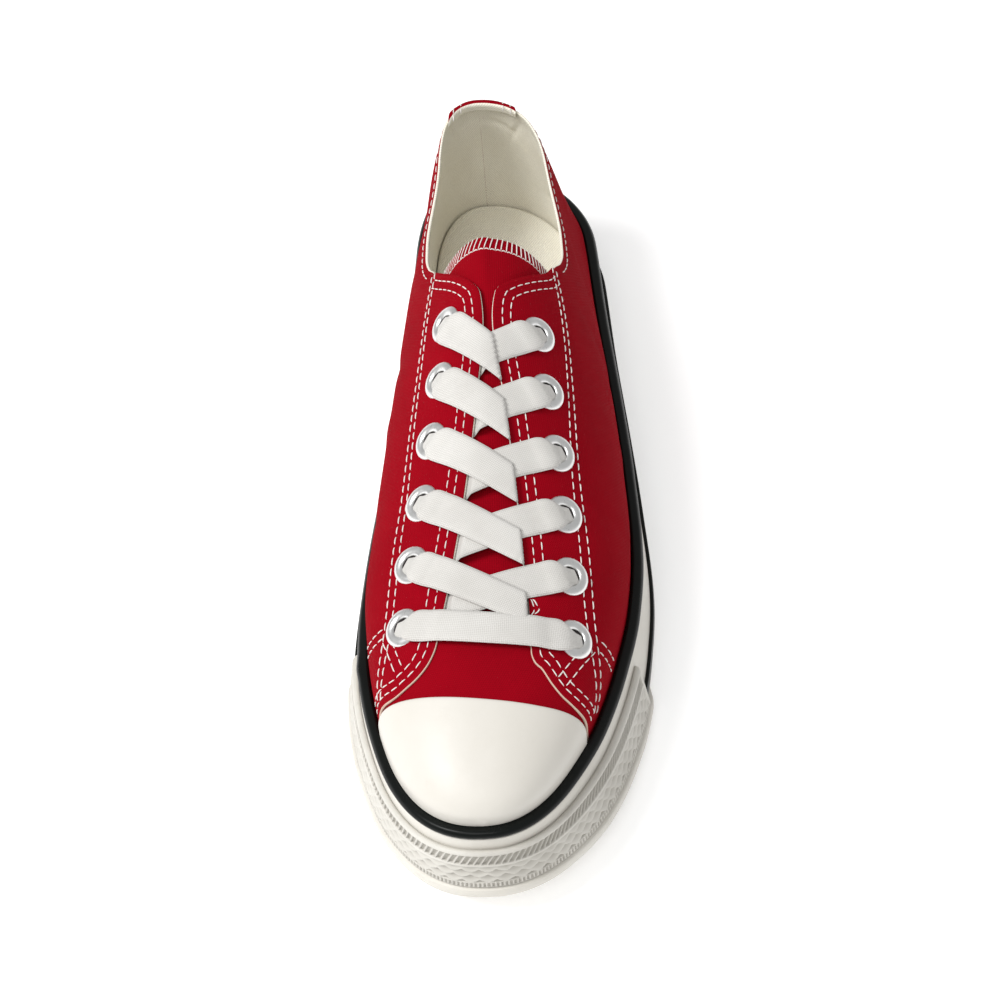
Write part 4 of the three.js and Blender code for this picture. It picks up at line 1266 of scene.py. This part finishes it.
def make_tongue():
    """A sheet under the facings, rounded at its top edge."""
    shares = mix(TONGUE_FROM, TONGUE_TO, np.linspace(0, 1, 120) ** 1.35)[:, None]
    t = np.linspace(-1, 1, 61)[None, :]
    x = mix(TONGUE["inner"](shares), TONGUE["outer"](shares), (t + 1) / 2) * HALF_WIDTH
    s = np.broadcast_to(shares * LAST_LENGTH, x.shape)
    round_up = tongue_lift(x, s, t)
    layers = (-TONGUE_GAP, -TONGUE_GAP - TONGUE_WALL)
    top, under = (np.stack([x, s, top_z(x, s, grow) + round_up], -1) for grow in layers)
    folds = [mix(top[0], under[0], share) + [0, out, 0] for share, out in TONGUE_FOLD]
    sheet = np.concatenate([top[::-1], np.array(folds), under], 0)
    piece = make_mesh("tongue_canvas", sheet, grid_faces(*sheet.shape[:2]), [RED], uv=sheet[..., :2])
    finish_piece(piece, "canvas", "tongue")
    return top


def eyelet_spot(side, pair):
    s = EYELET_FROM + EYELET_PITCH * pair + (EYELET_STAGGER if side > 0 else 0)
    return np.array([EYELET_ROWS[side][pair] * HALF_WIDTH, s])


# An eyelet's outline from a dark disc across its bore, painted shade where the hole is, over the dished
# flange to its rim: radius and height.
EYELET_OUTLINE = [
    [0.01, 0.12],
    [EYELET_BORE - 0.02, 0.12],
    [EYELET_BORE, 0.2],
    [EYELET_BORE + 0.12, 0.5],
    [EYELET_BORE + 0.45, 0.78],
    [EYELET_BORE + 0.95, 0.95],
    [EYELET_BORE + 1.5, 0.98],
    [EYELET_BORE + 2.0, 0.86],
    [EYELET_RADIUS - 0.45, 0.62],
    [EYELET_RADIUS - 0.12, 0.34],
    [EYELET_RADIUS, 0.1],
    [EYELET_RADIUS - 0.05, -0.25],
]
BORE_ROWS = 2  # rows of that outline on the disc across the bore, dark with painted shade


def make_eyelets():
    angles = np.linspace(0, 2 * math.pi, 56, endpoint=False)[:, None, None]
    radius, height = np.array(EYELET_OUTLINE).T[:, None, :, None]
    for side, word in ((INNER, "medial"), (OUTER, "lateral")):
        for pair in range(EYELET_PAIRS):
            spot = eyelet_spot(side, pair)
            at, out = (rows[0] for rows in top_frame(spot[:1], spot[1:]))
            first = unit(np.cross(out, [0, 1, 0]))
            second = np.cross(out, first)
            rings = at + radius * (np.cos(angles) * first + np.sin(angles) * second) + height * out
            faces = grid_faces(*rings.shape[:2], wrap_rows=True)
            kinds = np.tile((np.arange(rings.shape[1] - 1) < BORE_ROWS).astype(int), len(rings))
            name = f"eyelet_{word}_{pair + 1}"
            finish_piece(make_mesh(name + "_metal", rings, faces, [METAL, BORE_SHADE], kinds), "eyelet_metal", name)


LACE_SECTION = 10  # points over half of the lace's flat section


def ribbon(path, lift, width, thick, lower_to=None):
    """A flat band along plan points, lying at lift over the upper. lower_to(x, s) caps the
    lift of each point across it."""
    tangent = unit(np.gradient(path, axis=0))
    w = np.linspace(-1, 1, LACE_SECTION)
    aside = width[:, None] / 2 * w
    x = path[:, :1] + tangent[:, 1:] * aside
    s = path[:, 1:] - tangent[:, :1] * aside
    height = lift[:, None] + 0 * w
    if lower_to is not None:
        height = np.minimum(height, lower_to(x, s))
    at, out = (rows.reshape(*x.shape, 3) for rows in top_frame(x.ravel(), s.ravel()))
    half = thick[:, None] / 2 * (0.25 + 0.75 * (1 - np.abs(w) ** 6) ** 0.5)
    upper = at + out * (height + half)[..., None]
    lower = at + out * (height - half)[..., None]
    loop = np.concatenate([upper, lower[:, ::-1]], 1)
    way = way_along(upper[:, LACE_SECTION // 2])
    v = np.concatenate([w, w[::-1]]) * LACE_WIDTH / 2
    uv = np.stack(np.broadcast_arrays(way[:, None], v[None, :]), -1)
    return part_of(loop, grid_faces(*loop.shape[:2], wrap_columns=True), uv)


UNDER_FACING = -WALL - 0.42
OVER_EDGE = 4.0  # how much higher than that a band may lie before it goes down
# A band's middle over the upper, its width and its thickness at distances from its start in
# the bore, BORE_START behind the bore's middle.
BORE_START = 1.8
FROM_EYELET = table(
    ["at", "lift", "width", "thick"],
    [
        [0.0, -0.7, 4.6, 2.2],
        [1.8, -0.2, 5.1, 2.2],
        [3.3, 0.75, 6.2, 1.8],
        [4.6, 1.45, 7.6, 1.3],
        [6.0, 1.62, 8.6, 1.05],
        [7.5, 1.4, 9.0, 1.0],
        [9.5, 0.85, 9.0, 1.0],
        [11.5, 0.62, 9.0, 1.0],
    ],
)
# For the bands of each side's eyelets: how far before the far side's next eyelet they go
# under its facing, how high they cross, how far they bow (below 0 is towards the toe), and
# over what width they go down.
BANDS = {
    INNER: {"before": 5.3, "crossing": 1.6, "bow": -1.6, "dive": 1.0},
    OUTER: {"before": 2.2, "crossing": 0.4, "bow": -0.9, "dive": 4.5},
}
BEYOND_EDGE = 4.0
BAR_HEIGHT = 1.7
BAR_BOW = -3.2


def bowed(start, end, bow, t):
    """A line in plan, bowed along the foot in its middle."""
    path = mix(start, end, t[:, None])
    path[:, 1] -= bow * 4 * t * (1 - t)
    return path


def make_band(side, pair):
    """From an eyelet over to the other facing, and in under its edge."""
    shape = BANDS[side]
    spot, target = eyelet_spot(side, pair), eyelet_spot(-side, pair + 1)
    far = THROAT["outer" if side < 0 else "inner"]
    edge_s = target[1] - shape["before"]
    edge = np.array([float(far(edge_s / LAST_LENGTH)) * HALF_WIDTH, edge_s])
    toward = unit(edge - spot)
    start, end = spot - toward * BORE_START, edge + toward * BEYOND_EDGE
    path = bowed(start, end, shape["bow"], np.linspace(0, 1, 110))
    way = way_along(path)
    lift = mix(FROM_EYELET["lift"](way), shape["crossing"], ease((way - 7.5) / 5))

    def dive(x, s):
        inside = side * (x - far(s / LAST_LENGTH) * HALF_WIDTH)
        return UNDER_FACING + OVER_EDGE * ease((inside - 0.1) / shape["dive"])

    return ribbon(path, lift, FROM_EYELET["width"](way), FROM_EYELET["thick"](way), dive)


def make_bar():
    """The straight band between the bottom pair of eyelets."""
    first, last = (eyelet_spot(side, EYELET_PAIRS - 1) for side in (INNER, OUTER))
    out = unit(last - first) * BORE_START
    t = np.linspace(0, 1, 150)
    near = np.minimum(t, 1 - t) * np.linalg.norm(last - first + 2 * out)
    lift = mix(FROM_EYELET["lift"](near), BAR_HEIGHT, ease((near - 6) / 7))
    path = bowed(first - out, last + out, BAR_BOW, t)
    return ribbon(path, lift, FROM_EYELET["width"](near), FROM_EYELET["thick"](near))


def make_lace():
    """Each end of the lace comes out from under a facing, goes over to the eyelet of the
    other side one pair up, and down through it, and a straight bar joins the two below."""
    parts = [make_band(side, pair) for side in (INNER, OUTER) for pair in range(EYELET_PAIRS - 1)]
    points, faces, kinds, uv = joined(parts + [make_bar()])
    finish_piece(make_mesh("lace_tape", points, faces, [COTTON], kinds, uv), "lace_cotton", "lace")


# Stitches


THREAD_THICK = 0.38
STITCH = 2.5
STITCH_GAP = 0.7


def thread(at, out, thick=THREAD_THICK, sink=0.04):
    """A short rounded thread along a few points, lying on a surface."""
    t = np.linspace(-1, 1, len(at))
    side = np.cross(unit(np.gradient(at, axis=0)), out)
    body = (np.sqrt(np.maximum(1 - t ** 4, 0.04)) * thick / 2)[:, None]
    lift = (thick * (0.42 - 0.5 * t ** 4) - sink)[:, None]
    ring = np.linspace(0, 2 * math.pi, 6, endpoint=False)
    loop = np.stack([at + side * math.cos(a) * body + out * (math.sin(a) * body + lift) for a in ring], 1)
    return part_of(loop, grid_faces(*loop.shape[:2], wrap_columns=True), loop[..., :2])


def along_line(line, where):
    way = way_along(line)
    return np.stack([np.interp(where, way, line[:, i]) for i in range(3)], -1)


def stitch_row(path, normals):
    """Threads laid end to end along a path on a surface."""
    way = way_along(path)
    count = max(1, int(way[-1] / (STITCH + STITCH_GAP)))
    pitch = way[-1] / count
    parts = []
    for k in range(count):
        where = pitch * (k + 0.5) + np.linspace(-1, 1, 7) * (pitch - STITCH_GAP) / 2
        out = unit(np.stack([np.interp(where, way, normals[:, i]) for i in range(3)], -1))
        parts.append(thread(along_line(path, where), out))
    return parts


def surface_finder(points):
    """Finds the nearest point of a grid, and its outward direction, for points near it."""
    tree = BVHTree.FromPolygons(points.reshape(-1, 3).tolist(), grid_faces(*points.shape[:2]).tolist())

    def find(path):
        at, out = [], []
        for point in path:
            spot, normal, _, _ = tree.find_nearest(Vector(point))
            away = Vector((spot.x, 0, max(spot.z - 10, 4)))
            at.append(spot)
            out.append(normal if normal.dot(away) > 0 else -normal)
        return np.array(at), np.array(out)

    return find


def polyline(knots, step=1.0):
    """A smooth line through 3-D knots."""
    knots = np.array(knots, float)
    way = way_along(knots)
    t = np.linspace(0, way[-1], max(6, int(way[-1] / step)))
    return np.stack([curve_through(way, knots[:, i])(t) for i in range(3)], -1)


def beside(path, normals, distance):
    """A path moved sideways over its surface."""
    return path + np.cross(normals, unit(np.gradient(path, axis=0))) * distance


# Seams as knots (x, s, z): the long facing line, and the two short ones that leave it at the
# bottom eyelets, to the quarter's front edge and to the side wall.
SEAMS = {
    OUTER: [
        [
            [20.6, 81.6, 71.5],
            [23.4, 115, 68],
            [23.9, 146.8, 62.8],
            [25.2, 175, 55],
            [25.8, 199, 46.4],
            [26.2, 217, 33.5],
        ],
        [[25.6, 202.0, 45], [21.2, 209.2, 47.5], [16.9, 216.4, 49]],
        [[27.6, 200.6, 43], [29.9, 200.3, 37], [32.2, 199.4, 31]],
    ],
    INNER: [
        [
            [-17.8, 81.4, 71.5],
            [-21.8, 112, 68],
            [-24.5, 143, 61.4],
            [-27.4, 170, 55],
            [-30.4, 196, 48.4],
            [-33.0, 213.5, 39.5],
        ],
        [[-30.8, 197.4, 46.8], [-29.0, 203.6, 48.2], [-27.0, 209.6, 48.6]],
        [[-31.2, 195.8, 46.6], [-34.6, 195.2, 41], [-36.6, 193.8, 34.5]],
    ],
}
SEAM_WIDENS = {INNER: 0.8, OUTER: 1.2}  # how much further apart a seam's rows are at its front end
SEAM_GAP = 2.0
# Rows of stitches beside an edge: how far in from it, and how far they stop short of its ends
FACING_ROWS = {"in": (2.3, 4.9), "short": (2.0, 1.0)}
COLLAR_ROWS = {"in": (1.9,), "short": (11.0, 3.0)}
EDGE_STEP = 0.8
TONGUE_STITCH = {"pitch": 1.5, "depth": 4.3, "thick": 0.4}


def edge_stitches(find, edge, rows, side):
    """Rows of stitches inside an edge of the quarter on that side."""
    at, out = find(polyline(edge[::4], EDGE_STEP))
    first, last = (int(short / EDGE_STEP) for short in rows["short"])
    parts = []
    for distance in rows["in"]:
        row, normal = find(beside(at, out, -side * distance))
        keep = slice(first, len(row) - last)
        parts += stitch_row(row[keep], normal[keep])
    return parts


def quarter_stitches(side, outside):
    find = surface_finder(outside)
    parts = []
    for knots in SEAMS[side]:
        at, out = find(polyline(knots))
        gap = SEAM_GAP + SEAM_WIDENS[side] * ease((at[:, 1:2] - 110) / 85)
        for distance in (-gap / 2, gap / 2):
            parts += stitch_row(*find(beside(at, out, distance)))
    edge = border(outside)
    corner = np.argmin(np.abs(outside[:, -1, 1] - THROAT_FROM))
    facing = edge[corner:]
    behind_wall = facing[:, 2] < foxing_top(facing[:, 1]) + toe_rise(facing[:, 1]) + 1
    parts += edge_stitches(find, facing[: np.argmax(behind_wall)], FACING_ROWS, side)
    return parts + edge_stitches(find, edge[: corner + 1], COLLAR_ROWS, side)


def tongue_stitches(top):
    """Overlocking along the tongue's top edge: threads over the edge, and a line inside it."""
    edge = top[0]
    middle = top.shape[1] // 2
    inner_row = np.argmin(np.abs(top[:, middle, 1] - top[0, middle, 1] - TONGUE_STITCH["depth"]))
    inner, below = top[inner_row], edge + [0, -0.6, -0.9]
    total = way_along(edge)[-1]
    count = int(total / TONGUE_STITCH["pitch"])
    ratio = way_along(inner)[-1] / total
    up = np.array([0.0, -0.35, 0.94])
    parts = []

    def sew(knots, step):
        at = polyline(knots, step)
        parts.append(thread(at, np.broadcast_to(up, at.shape), TONGUE_STITCH["thick"]))

    for k in range(count):
        a, b = total * (k + 0.2) / count, total * (k + 0.75) / count
        start, end, over = (
            along_line(line, [at])[0] for line, at in ((inner, a * ratio), (edge, b), (below, b))
        )
        sew([start, mix(start, end, 0.5) + up * 0.12, end + up * 0.1, over], 0.6)
        nearer = along_line(inner, [max(a - 0.9 * total / count, 0) * ratio])[0]
        sew([nearer, mix(nearer, start, 0.5) - [0, 0.25, 0], start], 0.4)
    return parts


def strip_stitches():
    """Two rows near each side of the heel strip, up the back and over the collar's edge."""
    parts = []
    skin = CLEAR / 2 + STRIP_WALL
    profile = strip_profile(WALL + skin, -skin)[8:-3]
    for offset in (-8.9, -6.6, 6.6, 8.9):
        line = strip_points([STRIP_MIDDLE + offset], profile)[0]
        out = unit(np.cross(np.gradient(line, axis=0), [1.0, 0.0, 0.0]))
        parts += stitch_row(line, out * np.sign(-out[:1, 1:2]))
    return parts


def make_stitches(outsides, tongue_top):
    parts = tongue_stitches(tongue_top) + strip_stitches()
    for side in (OUTER, INNER):
        parts += quarter_stitches(side, outsides[side])
    points, faces, kinds, uv = joined(parts)
    finish_piece(make_mesh("upper_stitches", points, faces, [THREAD], kinds, uv), "lace_cotton")


# The scene


def look_from(azimuth, elevation, roll, distance, target, lens, shift):
    """The photograph's camera. Angles are in degrees; azimuth 0 looks along +Y."""
    az, el, turn = (math.radians(v) for v in (azimuth, elevation, roll))
    back = np.array([math.sin(az) * math.cos(el), -math.cos(az) * math.cos(el), math.sin(el)])
    right = unit(np.cross(-back, [0, 0, 1]))
    up = np.cross(right, -back)
    axes = [math.cos(turn) * right + math.sin(turn) * up, math.cos(turn) * up - math.sin(turn) * right, back]
    data = bpy.data.cameras.new("camera")
    data.lens = lens
    data.sensor_width = 36.0
    data.shift_x, data.shift_y = shift
    data.clip_end = 20
    camera = bpy.data.objects.new("camera", data)
    turned = Matrix(np.stack(axes, 1).tolist()).to_4x4()
    turned.translation = Vector(target) + Vector(back) * distance
    camera.matrix_world = turned
    bpy.context.scene.collection.objects.link(camera)
    bpy.context.scene.camera = camera


def make_floor():
    half = 3.0
    corners = [(-half, -half, 0), (half, -half, 0), (half, half, 0), (-half, half, 0)]
    mesh = bpy.data.meshes.new("floor")
    mesh.from_pydata(corners, [], [(0, 1, 2, 3)])
    white = Nodes("floor_white").set(
        Base_Color=(0.9, 0.9, 0.9, 1), Roughness=0.9, Emission_Color=(1, 1, 1, 1), Emission_Strength=0.3
    )
    mesh.materials.append(white)
    floor = bpy.data.objects.new("floor", mesh)
    bpy.context.scene.collection.objects.link(floor)


def area_light(name, where, size, power, aim=(0, 0, 0.03)):
    data = bpy.data.lights.new(name, "AREA")
    data.shape = "DISK"
    data.size = size
    data.energy = power
    light = bpy.data.objects.new(name, data)
    light.location = where
    light.rotation_euler = (Vector(aim) - Vector(where)).to_track_quat("-Z", "Y").to_euler()
    bpy.context.scene.collection.objects.link(light)


def make_light():
    world = bpy.data.worlds.new("studio")
    world.use_nodes = True
    background = world.node_tree.nodes["Background"]
    background.inputs["Color"].default_value = (1, 1, 1, 1)
    background.inputs["Strength"].default_value = 0.54
    bpy.context.scene.world = world
    area_light("key", (-0.85, -0.25, 1.3), 0.6, 18)
    area_light("front", (-0.25, -0.95, 1.35), 0.8, 6.5)
    bpy.context.scene.view_settings.view_transform = "Standard"


look_from(
    azimuth=2.91,
    elevation=49.19,
    roll=-4.84,
    distance=0.7627,
    target=(SHIFT_X * MM, (SHIFT_Y - LAST_LENGTH / 2) * MM, 0.038),
    lens=93.6,
    shift=(0.0039, -0.0472),
)
outsides = make_upper()
make_foxing()
make_top_stripe()
make_toe_bumper()
make_low_stripe()
make_outsole()
make_insole()
make_toe_cap()
make_heel_strip()
tongue_top = make_tongue()
make_eyelets()
make_lace()
make_stitches(outsides, tongue_top)
make_floor()
make_light()
